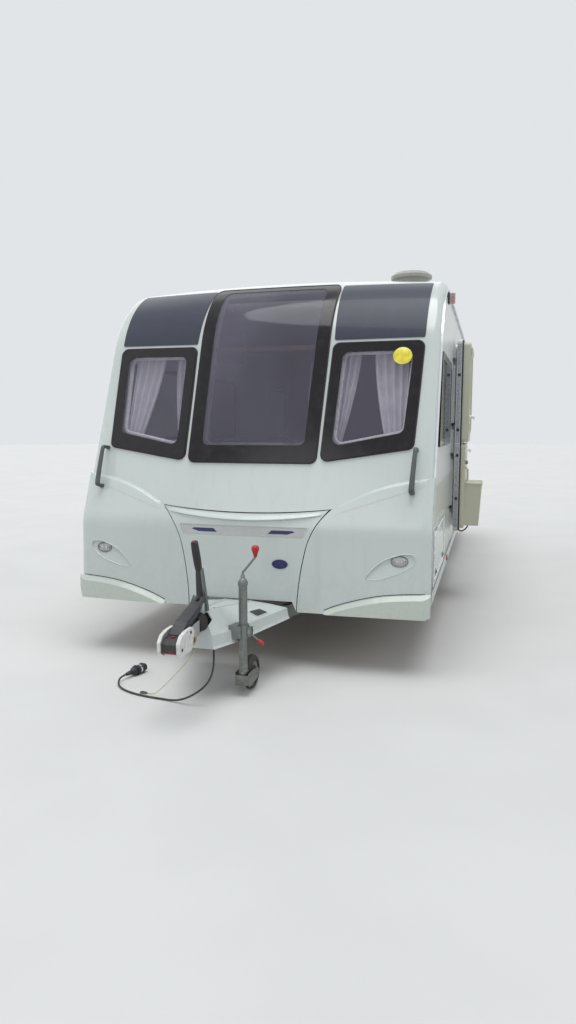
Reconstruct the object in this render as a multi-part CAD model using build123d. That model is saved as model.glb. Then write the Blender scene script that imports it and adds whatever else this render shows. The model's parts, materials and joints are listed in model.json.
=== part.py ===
from build123d import *
import math
import os

# Single-axle touring caravan, parked on its two road wheels and its jockey wheel.
# Lengths in millimetres. +X is forward, +Y is the caravan's left, +Z is up.
# x and y are counted from the tow-ball centre. Heights in this file are above the ground,
# and the export lowers everything by BALL_HEIGHT, so that the ball centre is the origin.

BALL_HEIGHT = 430.0
GAP = 5.0                      # clearance round moving lids and doors
SEAM = 3.0                     # half the seam left round a lid

# Body shell
BODY_WIDTH = 2280.0
WALL = 30.0                    # thickness of the walls, roof and end mouldings
ROOF_HEIGHT = 2520.0
BOW = 40.0                     # how far the ends and the roof crown over the body's width
CORNER_RADIUS = 50.0
RETURN_DEPTH = 105.0           # how far the end mouldings wrap round onto the sides
FRONT_FOOT = (-985.0, 350.0)
FRONT_KINK = (-1003.0, 876.0)
FRONT_RAKE = 0.396             # metres back for each metre up, above the kink
FRONT_KINK_RADIUS = 300.0
FRONT_TOP_RADIUS = 775.0
REAR_TOP_X = -7060.0
REAR_WAIST = (-7205.0, 1000.0)
REAR_FOOT = (-7190.0, 360.0)
REAR_TOP_RADIUS = 320.0
REAR_WAIST_RADIUS = 600.0
SKIRT_HEIGHT = 410.0           # underside of the side walls and the floor
SKIRT_TOP = 480.0
FLOOR_THICKNESS = 45.0

HALF_WIDTH = BODY_WIDTH / 2
INNER_HALF = HALF_WIDTH - WALL
FLOOR_TOP = SKIRT_HEIGHT + FLOOR_THICKNESS
FRONT_TOP = (FRONT_KINK[0] - FRONT_RAKE * (ROOF_HEIGHT - FRONT_KINK[1]), ROOF_HEIGHT)

# Lower front moulding, which stands proud of the upper panel
MOULDING_PROUD = 18.0
CREASE_CENTRE_Z = 945.0
CREASE_LID_CORNER = (546.0, 977.0)
CREASE_OUTER = (HALF_WIDTH + 8, 1175.0)

# Front bumper corners: the seam over their sloping shelf, as points of x, y and height on the moulding
BUMPER_PROUD = 45.0
BUMPER_HALF_WIDTH = HALF_WIDTH + 12
BUMPER_SEAM = ((-976.0, 524.0, 368.0), (-979.0, 583.0, 394.0), (-983.0, 656.0, 420.0), (-989.0, 768.0, 452.0),
               (-995.0, 875.0, 474.0), (-1002.0, 998.0, 487.0), (-1012.0, BUMPER_HALF_WIDTH, 495.0))
BUMPER_SHELF = (-1140.0, -900.0)   # x range of the shelf's slope, which drops as much as it comes forward
BUMPER_SIDE_TOP = 497.0

# Front lamps, each on the tilted floor of a drop-shaped recess: y and height of points on the left side
LAMP_CENTRE = (HALF_WIDTH - 172, 690.0)
LAMP_RADII = (38.0, 22.0)
LAMP_RECESS = ((HALF_WIDTH - 364, 580.0), (HALF_WIDTH - 336, 624.0), (HALF_WIDTH - 278, 678.0),
               (HALF_WIDTH - 215, 708.0), (HALF_WIDTH - 150, 729.0), (HALF_WIDTH - 98, 726.0),
               (HALF_WIDTH - 82, 704.0), (HALF_WIDTH - 98, 668.0), (HALF_WIDTH - 155, 630.0),
               (HALF_WIDTH - 240, 596.0), (HALF_WIDTH - 306, 576.0))
LAMP_FLOOR = ((-993.5, HALF_WIDTH - 364, 563.0), (-1013.0, HALF_WIDTH - 80, 668.0),
              (-1021.0, HALF_WIDTH - 215, 712.0))

# Gas locker lid
LID_FOOT = (353.0, 352.0)
LID_ARCH = (322.0, 410.0)      # the lid's lower edge clears the drawbar cover
LID_HINGE = (-1050.0, 1000.0)
LID_INSIDE = 12.0
LID_RECESS_DEPTH = 5.0

# Windows
PANE_PROUD = 14.0
PANE_LAP = 22.0                # how far a window laps onto the panel round its opening
CENTRE_WINDOW = ((423.0, 1253.0), (447.0, ROOF_HEIGHT - 80))
SIDE_FRONT_WINDOW = ((455.0, 1262.0), (HALF_WIDTH - 128, 1347.0), (HALF_WIDTH - 95, ROOF_HEIGHT - 510),
                     (475.0, ROOF_HEIGHT - 515))
DARK_PANEL = ((475.0, ROOF_HEIGHT - 490), (HALF_WIDTH - 92, ROOF_HEIGHT - 484), (HALF_WIDTH - 80, ROOF_HEIGHT - 80),
              (462.0, ROOF_HEIGHT - 80))
CENTRE_MARGINS = (80.0, 105.0, 28.0)    # painted border at the sides, the foot and the top of a window
SIDE_MARGINS = (62.0, 92.0, 58.0)
FRAME_BORDER = 50.0
WINDOW_BOTTOM = 1345.0
WINDOW_TOP = ROOF_HEIGHT - 560

# Road wheels and axle
AXLE_X = -4650.0
TYRE_RADIUS = 325.0
TYRE_WIDTH = 185.0
RIM_RADIUS = 178.0
RIM_LAP = 2.0                  # height of the bead seat over the rim's nominal radius
WHEEL_Y = HALF_WIDTH - 190
ARCH_RADIUS = 380.0
ARCH_CENTRE_Z = 300.0
ARCH_INNER = HALF_WIDTH - 340    # inner face of a wheel arch
AXLE_TUBE = (AXLE_X + 150, 345.0)
AXLE_TUBE_RADIUS = 58.0

# Door on the left side, folded forward flat against the wall
DOOR_HINGE = (-3560.0, HALF_WIDTH + 17)
DOORWAY = (-4143.0, -3560.0, 592.0, ROOF_HEIGHT - 322)
DOOR_WINDOW = (1440.0, ROOF_HEIGHT - 460)
DOOR_GAP = 8.0
DOOR_SLAB = 40.0
DOOR_LINER = 68.0

# Chassis
DRAWBAR_NOSE = (-330.0, 68.0)  # x and outer y of a drawbar arm's front end
DRAWBAR_TAIL = (-1700.0, 540.0)
ARM_WIDTH = 43.0
ARM_HEIGHTS = (305.0, 385.0)
DRAW_TUBE_Z = 448.0
DRAW_TUBE_RADIUS = 25.0
HOUSING_TOP = 425.0
CROSS_MEMBERS = (-1760.0, -2700.0, -4100.0, -5300.0, -6800.0)
STEADIES = (-1840.0, -6800.0)  # x of the front and the rear pair of corner steadies
STEADY_PIVOT = (615.0, 378.0)

# Coupling head: outlines of x and height
COUPLING_BODY = ((84.0, 382.0), (84.0, 428.0), (62.0, 450.0), (10.0, 455.0), (-60.0, 462.0), (-130.0, 478.0),
                 (-200.0, 482.0), (-200.0, 402.0), (-60.0, 392.0), (-40.0, 378.0), (70.0, 378.0))
COUPLING_CHEEK = ((92.0, 386.0), (94.0, 438.0), (64.0, 468.0), (10.0, 480.0), (-72.0, 482.0), (-88.0, 452.0),
                  (-52.0, 366.0), (64.0, 366.0))
COUPLING_HALF = 41.0
CHEEK_HALF = 60.0
FRICTION_DISC = (-96.0, 408.0, 32.0)   # x, height and radius
STABILISER = ((14.0, 440.0), (14.0, 460.0), (-63.0, 507.0), (-241.0, 553.0), (-308.0, 578.0), (-322.0, 562.0),
              (-245.0, 522.0), (-118.0, 474.0), (-60.0, 452.0))

# Drawbar cover: half sections of y and height, from the flared foot up to the ridge, at three x values
COVER_WALL = 5.0
COVER_SECTIONS = (
    (-288.0, ((86.0, 300.0), (78.0, 313.0), (74.0, 372.0), (54.0, 425.0), (24.0, 490.0))),
    (-430.0, ((156.0, 304.0), (147.0, 318.0), (142.0, 376.0), (100.0, 425.0), (48.0, 486.0))),
    (-930.0, ((324.0, 322.0), (314.0, 336.0), (306.0, 385.0), (200.0, 403.0), (80.0, 414.0))))
COVER_CLAMP_NOTCH = 6.0        # clearance round the jockey clamp

# Hinges of the two side hatches, along their upper edges
HATCH_KNUCKLE = 5.0
HATCH_HINGE_PLACES = (0.15, 0.85)      # as parts of the hatch's width

# Jockey wheel
JOCKEY = (-452.0, 191.0)
JOCKEY_TUBE_RADIUS = 24.0
CLAMP_HEIGHTS = (330.0, 400.0)
JOCKEY_WHEEL_RADIUS = 95.0
JOCKEY_TRAIL = 128.0


def block(x, y, z):
    """A box between two x, two y and two z values."""
    return Pos((x[0] + x[1]) / 2, (y[0] + y[1]) / 2, (z[0] + z[1]) / 2) * Box(
        abs(x[1] - x[0]), abs(y[1] - y[0]), abs(z[1] - z[0]))


def outline(points, radius=0.0):
    face = make_face(Polyline(*points, close=True).edges()).face()
    return face.fillet_2d(radius, face.vertices()) if radius else face


def side_plate(points, y, radius=0.0):
    """An outline of x and height, made solid between two y values."""
    face = outline([(x, y[0], z) for x, z in points], radius)
    return extrude(face, abs(y[1] - y[0]), dir=(0, math.copysign(1, y[1] - y[0]), 0))


def end_plate(points, x, radius=0.0):
    """An outline of y and height, made solid between two x values."""
    face = outline([(x[0], y, z) for y, z in points], radius)
    return extrude(face, abs(x[1] - x[0]), dir=(math.copysign(1, x[1] - x[0]), 0, 0))


def plan_plate(points, z, radius=0.0):
    """An outline of x and y, made solid between two heights."""
    face = outline([(x, y, z[0]) for x, y in points], radius)
    return extrude(face, abs(z[1] - z[0]), dir=(0, 0, math.copysign(1, z[1] - z[0])))


def mirrored(points):
    """The same outline on the other side."""
    return [(-y, z) for y, z in points]


def rectangle(a, b):
    return [(a[0], b[0]), (a[1], b[0]), (a[1], b[1]), (a[0], b[1])]


def rod(start, end, radius):
    start, end = Vector(*start), Vector(*end)
    axis = end - start
    return Plane(origin=start, z_dir=axis) * Cylinder(radius, axis.length,
                                                      align=(Align.CENTER, Align.CENTER, Align.MIN))


def bent_rod(points, radius, bends):
    path = FilletPolyline(*points, radius=bends)
    return sweep(Plane(origin=path @ 0, z_dir=path % 0) * Circle(radius), path=path)


def largest(piece):
    """The biggest solid that a cut leaves."""
    return piece.solids().sort_by(SortBy.VOLUME)[-1]


def both(piece):
    """A piece and its mirror image across the centre line."""
    return Part() + [piece, mirror(piece, Plane.XZ)]


# The body's side profile is one path from the front foot over the roof to the rear foot.
PROFILE = FilletPolyline(
    (FRONT_FOOT[0], 0, FRONT_FOOT[1]), (FRONT_KINK[0], 0, FRONT_KINK[1]), (FRONT_TOP[0], 0, FRONT_TOP[1]),
    (REAR_TOP_X, 0, ROOF_HEIGHT), (REAR_WAIST[0], 0, REAR_WAIST[1]), (REAR_FOOT[0], 0, REAR_FOOT[1]),
    radius=[FRONT_KINK_RADIUS, FRONT_TOP_RADIUS, REAR_TOP_RADIUS, REAR_WAIST_RADIUS])
PROFILE_EDGES = PROFILE.edges().sort_by(lambda edge: PROFILE.param_at_point(edge.position_at(0.5)))
FRONT_PATH = Wire(PROFILE_EDGES[0:4])
ROOF_PATH = Wire(PROFILE_EDGES[4:5])
REAR_PATH = Wire(PROFILE_EDGES[5:9])


def shell_section(depth):
    """The body's section at a depth under its outer skin, as a filled face down to the returns' end."""
    half = HALF_WIDTH - depth
    crown = (HALF_WIDTH ** 2 + BOW ** 2) / (2 * BOW)
    disc = Pos(0, crown) * Circle(crown - depth)
    slab = Pos(0, RETURN_DEPTH / 2 - BUMPER_PROUD / 2) * Rectangle(2 * half, RETURN_DEPTH + BUMPER_PROUD)
    face = (disc & slab).faces()[0]
    front = [v for v in face.vertices() if v.Y < RETURN_DEPTH - 1 and abs(v.X) > half - 1]
    return face.fillet_2d(max(CORNER_RADIUS - depth, 5.0), front)


def layer(outer, inner, path):
    """The stretch of shell along a path between two depths under the body's outer skin."""
    section = shell_section(outer) - shell_section(inner)
    start = Plane(origin=path @ 0, x_dir=(0, 1, 0), z_dir=path % 0)
    return sweep(start * section, path=path)


def profile_face(depth):
    """The body's side outline, a depth inside its skin, down to the skirts."""
    low = PROFILE @ 0, PROFILE @ 1
    feet = Polyline(low[0], (low[0].X, 0, -600), (low[1].X, 0, -600), low[1])
    face = make_face(PROFILE.edges() + feet.edges())
    inset = offset(face, -depth).faces()[0] if depth else face
    floor = make_face(Polyline((0, 0, SKIRT_HEIGHT), (-9000, 0, SKIRT_HEIGHT), (-9000, 0, 4000),
                               (0, 0, 4000), close=True).edges())
    return (inset & floor).faces()[0]


FORWARD = (-2600.0, -700.0)    # x range that holds every piece of the front
BACKWARD = (-7600.0, -6500.0)  # x range that holds every piece of the rear


def crease_edge(shift=0.0):
    """The smile-shaped upper edge of the lower moulding, from left to right."""
    y, z = CREASE_LID_CORNER
    yo, zo = CREASE_OUTER
    x = FORWARD[0]
    middle = ThreePointArc((x, y, z + shift), (x, 0, CREASE_CENTRE_Z + shift), (x, -y, z + shift))
    left = Line((x, yo, zo + shift), (x, y, z + shift))
    right = Line((x, -y, z + shift), (x, -yo, zo + shift))
    return left, middle, right


def moulding_zone():
    left, middle, right = crease_edge()
    foot = Polyline(right @ 1, (FORWARD[0], -CREASE_OUTER[0], 0), (FORWARD[0], CREASE_OUTER[0], 0), left @ 0)
    face = make_face(Wire([*left.edges(), *middle.edges(), *right.edges(), *foot.edges()]))
    return extrude(face, FORWARD[1] - FORWARD[0], dir=(1, 0, 0))


def lid_zone(margin):
    """The gas locker lid's outline as a prism, grown by a margin, and by more at its sharp upper corners."""
    x = FORWARD[0]
    y_top, z_top = CREASE_LID_CORNER[0] + 3 * margin, CREASE_LID_CORNER[1] + margin
    y_foot, z_foot = LID_FOOT[0] + margin, LID_FOOT[1] - margin
    y_arch, z_arch = LID_ARCH[0] - margin, LID_ARCH[1] - margin
    knee = (400.0 + margin, 720.0)
    edges = [*ThreePointArc((x, y_top, z_top), (x, 0, CREASE_CENTRE_Z + margin), (x, -y_top, z_top)).edges()]
    for s in (1, -1):
        middle = (x, s * knee[0], knee[1])
        edges += ThreePointArc((x, s * y_top, z_top), (x, s * (452.0 + margin), 858.0), middle).edges()
        edges += ThreePointArc(middle, (x, s * (370.0 + margin), 560.0), (x, s * y_foot, z_foot)).edges()
    edges += Polyline((x, y_foot, z_foot), (x, y_arch, z_arch), (x, -y_arch, z_arch), (x, -y_foot, z_foot)).edges()
    return extrude(make_face(edges), FORWARD[1] - FORWARD[0], dir=(1, 0, 0))


def window_zone(points, grow, x=FORWARD, radius=30.0):
    face = outline([(x[0], y, z) for y, z in points])
    if grow:
        face = offset(face, grow, kind=Kind.INTERSECTION).faces()[0]
    face = face.fillet_2d(radius, face.vertices())
    return extrude(face, x[1] - x[0], dir=(1, 0, 0))


def centre_window_points():
    (y0, z0), (y1, z1) = CENTRE_WINDOW
    return [(y0, z0), (y1, z1), (-y1, z1), (-y0, z0)]


FRONT_WINDOWS = [centre_window_points(), list(SIDE_FRONT_WINDOW), mirrored(SIDE_FRONT_WINDOW)]

# Side windows: low front x, low rear x, top front x, top rear x, on each side
LEFT_WINDOWS = [(-1485.0, -2680.0, -1608.0, -2680.0), (-5180.0, -5980.0, -5180.0, -5980.0)]
RIGHT_WINDOWS = [(-1485.0, -2680.0, -1608.0, -2680.0), (-3250.0, -4080.0, -3250.0, -4080.0),
                 (-5180.0, -5980.0, -5180.0, -5980.0)]
REAR_WINDOW = ((-420.0, 1480.0), (420.0, 1480.0), (420.0, 1960.0), (-420.0, 1960.0))
SIDE_LOCKER = (-2210.0, -1260.0, 520.0, 840.0)
TOILET_HATCH = (-6620.0, -6240.0, 520.0, 850.0)
HATCH_FRAME = 26.0


def side_window_plate(window, y, grow=0.0, radius=50.0):
    low_front, low_rear, top_front, top_rear = window
    points = [(low_front + grow, WINDOW_BOTTOM - grow), (low_rear - grow, WINDOW_BOTTOM - grow),
              (top_rear - grow, WINDOW_TOP + grow), (top_front + grow, WINDOW_TOP + grow)]
    return side_plate(points, y, radius)


def inner_window_points(points, margins):
    """A front window's clear part, inside the painted border."""
    side, foot, top = margins
    s = math.copysign(1, sum(y for y, z in points))
    if len({abs(y) for y, z in points}) == 2:
        (y0, z0), (y1, z1) = points[0], points[1]
        return [(y0 - side, z0 + foot), (y1 - side, z1 - top), (side - y1, z1 - top), (side - y0, z0 + foot)]
    (y0, z0), (y1, z1), (y2, z2), (y3, z3) = points if s > 0 else mirrored(points)
    inner = [(y0 + side, z0 + foot), (y1 - side, z1 + foot), (y2 - side, z2 - top), (y3 + side, z3 - top)]
    return inner if s > 0 else mirrored(inner)


def lamp_floor(s):
    """The tilted plane behind a front lamp, facing forward."""
    a, b, c = (Vector(x, s * y, z) for x, y, z in LAMP_FLOOR)
    normal = (b - a).cross(c - a)
    return Plane(origin=a, z_dir=normal if normal.X > 0 else normal * -1)


def lamp_recess(s):
    edge = Spline(*[(FORWARD[0], s * y, z) for y, z in LAMP_RECESS], periodic=True)
    prism = extrude(make_face(edge.edges()), FORWARD[1] - FORWARD[0], dir=(1, 0, 0))
    return prism & lamp_floor(s) * Box(2000, 2000, 400, align=(Align.CENTER, Align.CENTER, Align.MIN))


def front_lamp(s):
    """An oval lamp, sunk a little into its recess's floor."""
    floor = lamp_floor(s)
    spot = floor.to_local_coords(Vector(LAMP_FLOOR[2][0] + 12, s * LAMP_CENTRE[0], LAMP_CENTRE[1]))
    place = Plane(origin=floor.from_local_coords(Vector(spot.X, spot.Y, -6)), x_dir=(0, 1, 0), z_dir=floor.z_dir)
    return place * extrude(Ellipse(*LAMP_RADII), 11)


def front_panel():
    shell = layer(0, WALL, FRONT_PATH)
    lower = layer(-MOULDING_PROUD, 0, FRONT_PATH) & moulding_zone()
    panel = shell + lower
    panel -= lid_zone(SEAM) + drawbar_passage()
    for points in FRONT_WINDOWS:
        panel -= window_zone(points, -PANE_LAP)
    for s in (1, -1):
        panel -= lamp_recess(s) + front_lamp(s)
        panel -= awning_rail(s)
    return panel


def drawbar_passage():
    """The gap under the lid, where the drawbar and its cover pass through the moulding."""
    foot, arch = LID_FOOT, LID_ARCH
    edge = [(foot[0] + SEAM, 0), (foot[0] + SEAM, foot[1] - SEAM), (arch[0] - SEAM, arch[1] + SEAM)]
    return end_plate(edge + mirrored(reversed(edge)), FORWARD)


def gas_locker_lid():
    lid = layer(-MOULDING_PROUD, LID_INSIDE, FRONT_PATH) & lid_zone(-SEAM)
    recess = window_zone([(418.0, 868.0), (392.0, 802.0), (-392.0, 802.0), (-418.0, 868.0)], 0, radius=6.0)
    return lid - (layer(-MOULDING_PROUD, -MOULDING_PROUD + LID_RECESS_DEPTH, FRONT_PATH) & recess)


def front_bumper(s):
    """A corner of the bumper, with a curved shelf that slopes down from its seam."""
    sections = []
    for x in BUMPER_SHELF:
        seam = [(x, s * y, z - (x - seam_x)) for seam_x, y, z in BUMPER_SEAM]
        low = 0.0
        foot = Polyline(seam[-1], (x, s * BUMPER_HALF_WIDTH, low), (x, seam[0][1], low), seam[0])
        sections.append(make_face(Spline(*seam).edges() + foot.edges()))
    zone = loft(sections, ruled=True)
    zone &= end_plate([(s * 400, 0), (s * 400, BUMPER_SIDE_TOP), (s * BUMPER_HALF_WIDTH, BUMPER_SIDE_TOP),
                       (s * BUMPER_HALF_WIDTH, 425), (s * (BUMPER_HALF_WIDTH - 24), 340),
                       (s * (BUMPER_HALF_WIDTH - 60), 0)], FORWARD)
    return layer(-BUMPER_PROUD, -MOULDING_PROUD, FRONT_PATH) & zone


def front_windows():
    frames, panes = [], []
    for points, margins in zip(FRONT_WINDOWS, (CENTRE_MARGINS, SIDE_MARGINS, SIDE_MARGINS)):
        clear = window_zone(inner_window_points(points, margins), 0, radius=45.0)
        frames.append(layer(-PANE_PROUD, 0, FRONT_PATH) & (window_zone(points, 0, radius=38.0) - clear))
        panes.append(layer(-PANE_PROUD + 2, -2, FRONT_PATH) & clear)
    return Part() + frames, Part() + panes


def dark_panels():
    zones = [window_zone(DARK_PANEL, 0, radius=12.0), window_zone(mirrored(DARK_PANEL), 0, radius=12.0)]
    skin = layer(-5, 0, FRONT_PATH)
    return Part() + [skin & zone for zone in zones]


def grab_handles():
    y_low, y_high = HALF_WIDTH - 112, HALF_WIDTH - 105
    post = [(-1062, y_low, 1092), (-1022, y_low, 1100), (-1130, y_high, 1350), (-1172, y_high, 1342)]
    return both(bent_rod(post, 13, [14, 14]) - layer(-MOULDING_PROUD, WALL, FRONT_PATH))


def roof_panel():
    return layer(0, WALL, ROOF_PATH)


def rear_panel():
    return layer(0, WALL, REAR_PATH) - window_zone(REAR_WINDOW, -PANE_LAP, BACKWARD)


def rear_bumper():
    half = BUMPER_HALF_WIDTH
    zone = end_plate([(-half, 330), (half, 330), (half, 620), (-half, 620)], BACKWARD)
    return layer(-25, 0, REAR_PATH) & zone


def rear_lamps():
    skin = layer(-22, 0, REAR_PATH)
    inner, outer = HALF_WIDTH - 210, HALF_WIDTH - 70
    lamp = skin & end_plate([(inner, 660), (outer, 660), (outer, 1150), (inner, 1150)], BACKWARD, 30)
    high = skin & end_plate([(-180, 2250), (180, 2250), (180, 2285), (-180, 2285)], BACKWARD, 10)
    return Part() + [lamp, mirror(lamp, Plane.XZ), high]


def rear_window():
    skin = layer(-PANE_PROUD, 0, REAR_PATH)
    inner = layer(-PANE_PROUD + 2, -2, REAR_PATH)
    hole = window_zone(REAR_WINDOW, -FRAME_BORDER, BACKWARD)
    return skin & (window_zone(REAR_WINDOW, 0, BACKWARD) - hole), inner & hole


def side_wall(s, windows):
    face = profile_face(RETURN_DEPTH)
    y = (s * INNER_HALF, s * HALF_WIDTH)
    wall = extrude(Pos(0, y[0], 0) * face, WALL, dir=(0, s, 0))
    for window in windows:
        wall -= side_window_plate(window, y, -PANE_LAP)
    wall -= side_plate_disc(AXLE_X, ARCH_CENTRE_Z, ARCH_RADIUS, y)
    if s > 0:
        x0, x1, z0, z1 = DOORWAY
        wall -= side_plate(rectangle((x0, x1), (z0, z1)), y, 40)
        x0, x1, z0, z1 = SIDE_LOCKER
        wall -= side_plate(rectangle((x0, x1), (z0, z1)), y, 25)
    else:
        x0, x1, z0, z1 = TOILET_HATCH
        wall -= side_plate(rectangle((x0, x1), (z0, z1)), y, 25)
    return wall


def side_plate_disc(x, z, radius, y):
    return Plane(origin=(x, min(y), z), x_dir=(1, 0, 0), z_dir=(0, 1, 0)) * Cylinder(
        radius, abs(y[1] - y[0]), align=(Align.CENTER, Align.CENTER, Align.MIN))


def side_windows(s, windows):
    frames, panes = [], []
    outside = (s * HALF_WIDTH, s * (HALF_WIDTH + PANE_PROUD))
    inside = (s * (HALF_WIDTH + 2), s * (HALF_WIDTH + PANE_PROUD - 2))
    for window in windows:
        hole = side_window_plate(window, outside, -FRAME_BORDER)
        frames.append(side_window_plate(window, outside) - hole)
        panes.append(side_window_plate(window, inside, -FRAME_BORDER))
    return Part() + frames, Part() + panes


def awning_rail(s):
    band = profile_face(RETURN_DEPTH - 13) - profile_face(RETURN_DEPTH + 13)
    rail = extrude(Pos(0, s * HALF_WIDTH, 0) * band, 12, dir=(0, s, 0))
    return rail & block((-8000, 0), (-1300, 1300), (620, 3000))


def side_skirt(s):
    y = (s * HALF_WIDTH, s * (HALF_WIDTH + 12))
    skirt = side_plate(rectangle((-7050, -1110), (SKIRT_HEIGHT, SKIRT_TOP)), y)
    trim = side_plate_disc(AXLE_X, ARCH_CENTRE_Z, ARCH_RADIUS + 45, y)
    keep = block((-8000, 0), (-1300, 1300), (SKIRT_HEIGHT, 1000))
    return ((skirt + trim) & keep) - side_plate_disc(AXLE_X, ARCH_CENTRE_Z, ARCH_RADIUS, y)


def floor_panel():
    """The floor reaches the end mouldings' inner faces, and is cut away over the road wheels."""
    floor = block((-7300, -900), (-INNER_HALF, INNER_HALF), (SKIRT_HEIGHT, FLOOR_TOP))
    floor -= layer(-BUMPER_PROUD, WALL, FRONT_PATH)
    floor -= layer(-BUMPER_PROUD, WALL, REAR_PATH)
    for s in (1, -1):
        floor -= block((AXLE_X - 400, AXLE_X + 400), (s * ARCH_INNER, s * INNER_HALF), (0, 1000))
    return largest(floor)


def wheel_arch(s):
    outer = [(-400, SKIRT_HEIGHT), (400, SKIRT_HEIGHT), (400, 600), (270, 760), (-270, 760), (-400, 600)]
    inner = [(-386, 300), (386, 300), (386, 594), (264, 746), (-264, 746), (-386, 594)]
    box = side_plate([(AXLE_X + x, z) for x, z in outer], (s * ARCH_INNER, s * INNER_HALF))
    return box - side_plate([(AXLE_X + x, z) for x, z in inner], (s * (ARCH_INNER + 14), s * INNER_HALF))


def locker_bulkhead():
    back = block((-1520, -1500), (-INNER_HALF, INNER_HALF), (FLOOR_TOP, 1100))
    shelf = block((-1500, -1000), (-INNER_HALF, INNER_HALF), (1085, 1100))
    return largest(back + shelf - layer(-BUMPER_PROUD, WALL, FRONT_PATH))


def service_hatch_frame(zone, s):
    x0, x1, z0, z1 = zone
    y = (s * HALF_WIDTH, s * (HALF_WIDTH + 10))
    outside = rectangle((x0 - HATCH_FRAME, x1 + HATCH_FRAME), (z0 - HATCH_FRAME, z1 + HATCH_FRAME))
    frame = side_plate(outside, y, 30) - side_plate(rectangle((x0, x1), (z0, z1)), y, 25)
    return frame + hatch_knuckles(zone, s, (-40, -1), (z1, z1 + 12))


def hatch_knuckles(zone, s, span, leaf):
    """Halves of the hinges on a hatch's upper edge: a barrel on the axis and a leaf under or over it."""
    x0, x1, z0, z1 = zone
    face = s * (HALF_WIDTH + 10)
    axis = s * (HALF_WIDTH + 10 + HATCH_KNUCKLE + 1)
    pieces = []
    for part in HATCH_HINGE_PLACES:
        x = x0 + (x1 - x0) * part
        pieces.append(rod((x + span[0], axis, z1), (x + span[1], axis, z1), HATCH_KNUCKLE))
        pieces.append(block((x + span[0], x + span[1]), (face, axis), leaf))
    return Part() + pieces


def service_hatch_door(zone, s):
    x0, x1, z0, z1 = zone
    y = (s * (HALF_WIDTH - 20), s * (HALF_WIDTH + 10))
    door = side_plate(rectangle((x0 + GAP, x1 - GAP), (z0 + GAP, z1 - GAP)), y, 22)
    return door + hatch_knuckles(zone, s, (1, 40), (z1 - 18, z1))


def wall_vents():
    vents = []
    for z in (640, 1130):
        vents.append(side_plate(rectangle((-3140, -2740), (z, z + 190)), (-HALF_WIDTH, -HALF_WIDTH - 14), 14))
    vents.append(side_plate(rectangle((-6180, -6020), (620, 780)), (-HALF_WIDTH, -HALF_WIDTH - 12), 12))
    vents.append(side_plate_disc(-5700, 760, 45, (-HALF_WIDTH - 30, -HALF_WIDTH)))
    return Part() + vents


HINGE_KNUCKLES = ((700, 760), (1180, 1240), (1450, 1510), (ROOF_HEIGHT - 490, ROOF_HEIGHT - 430))
KNUCKLE_RADIUS = 8.0


def door_frame():
    """The doorway's outer frame, with the fixed halves of the hinges on its front edge."""
    x0, x1, z0, z1 = DOORWAY
    y = (HALF_WIDTH, HALF_WIDTH + 8)
    frame = side_plate(rectangle((x0 - 24, x1 + 24), (z0 - 24, z1 + 24)), y, 60)
    frame -= side_plate(rectangle((x0, x1), (z0, z1)), y, 40)
    hinge_x, hinge_y = DOOR_HINGE
    for low, high in HINGE_KNUCKLES:
        frame += rod((hinge_x, hinge_y, low), (hinge_x, hinge_y, (low + high) / 2 - 1), KNUCKLE_RADIUS)
        frame += block((hinge_x, hinge_x + 20), (y[1], hinge_y + 3), (low, (low + high) / 2 - 1))
    return frame


def door_slab():
    """The door lies open: its outer face is towards the wall and its hinge edge is at the rear."""
    x0, x1, z0, z1 = DOORWAY
    hinge_x, hinge_y = DOOR_HINGE
    width = x1 - x0 - DOOR_GAP
    out = hinge_y + (hinge_y - HALF_WIDTH)
    span = (hinge_x, hinge_x + width)
    slab = side_plate(rectangle(span, (z0 + DOOR_GAP, z1 - DOOR_GAP)), (out, out + DOOR_SLAB), 34)
    window = rectangle((hinge_x + 120, hinge_x + width - 110), DOOR_WINDOW)
    slab -= side_plate(window, (out, out + DOOR_SLAB), 40)
    for low, high in HINGE_KNUCKLES:
        slab += rod((hinge_x, hinge_y, (low + high) / 2 + 1), (hinge_x, hinge_y, high), KNUCKLE_RADIUS)
        slab += block((hinge_x, hinge_x + 20), (hinge_y - 3, out), ((low + high) / 2 + 1, high))
    return slab


def door_liner():
    x0, x1, z0, z1 = DOORWAY
    hinge_x, hinge_y = DOOR_HINGE
    width = x1 - x0 - DOOR_GAP
    inner = hinge_y + (hinge_y - HALF_WIDTH) + DOOR_SLAB
    span = (hinge_x + 45, hinge_x + width - 22)
    upper = side_plate(rectangle(span, (1352, z1 - 34)), (inner, inner + DOOR_LINER), 30)
    upper -= side_plate(rectangle((hinge_x + 120, hinge_x + width - 110), DOOR_WINDOW),
                        (inner, inner + DOOR_LINER), 40)
    lower = side_plate(rectangle(span, (z0 + 34, 1332)), (inner, inner + DOOR_LINER - 22), 30)
    waist = side_plate(rectangle((span[0] + 20, span[1] - 20), (1325, 1360)), (inner, inner + 20))
    return upper + lower + waist


def door_pane():
    x0, x1, z0, z1 = DOORWAY
    hinge_x, hinge_y = DOOR_HINGE
    width = x1 - x0 - DOOR_GAP
    out = hinge_y + (hinge_y - HALF_WIDTH)
    return side_plate(rectangle((hinge_x + 120, hinge_x + width - 110), DOOR_WINDOW), (out + 8, out + 28), 40)


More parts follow.
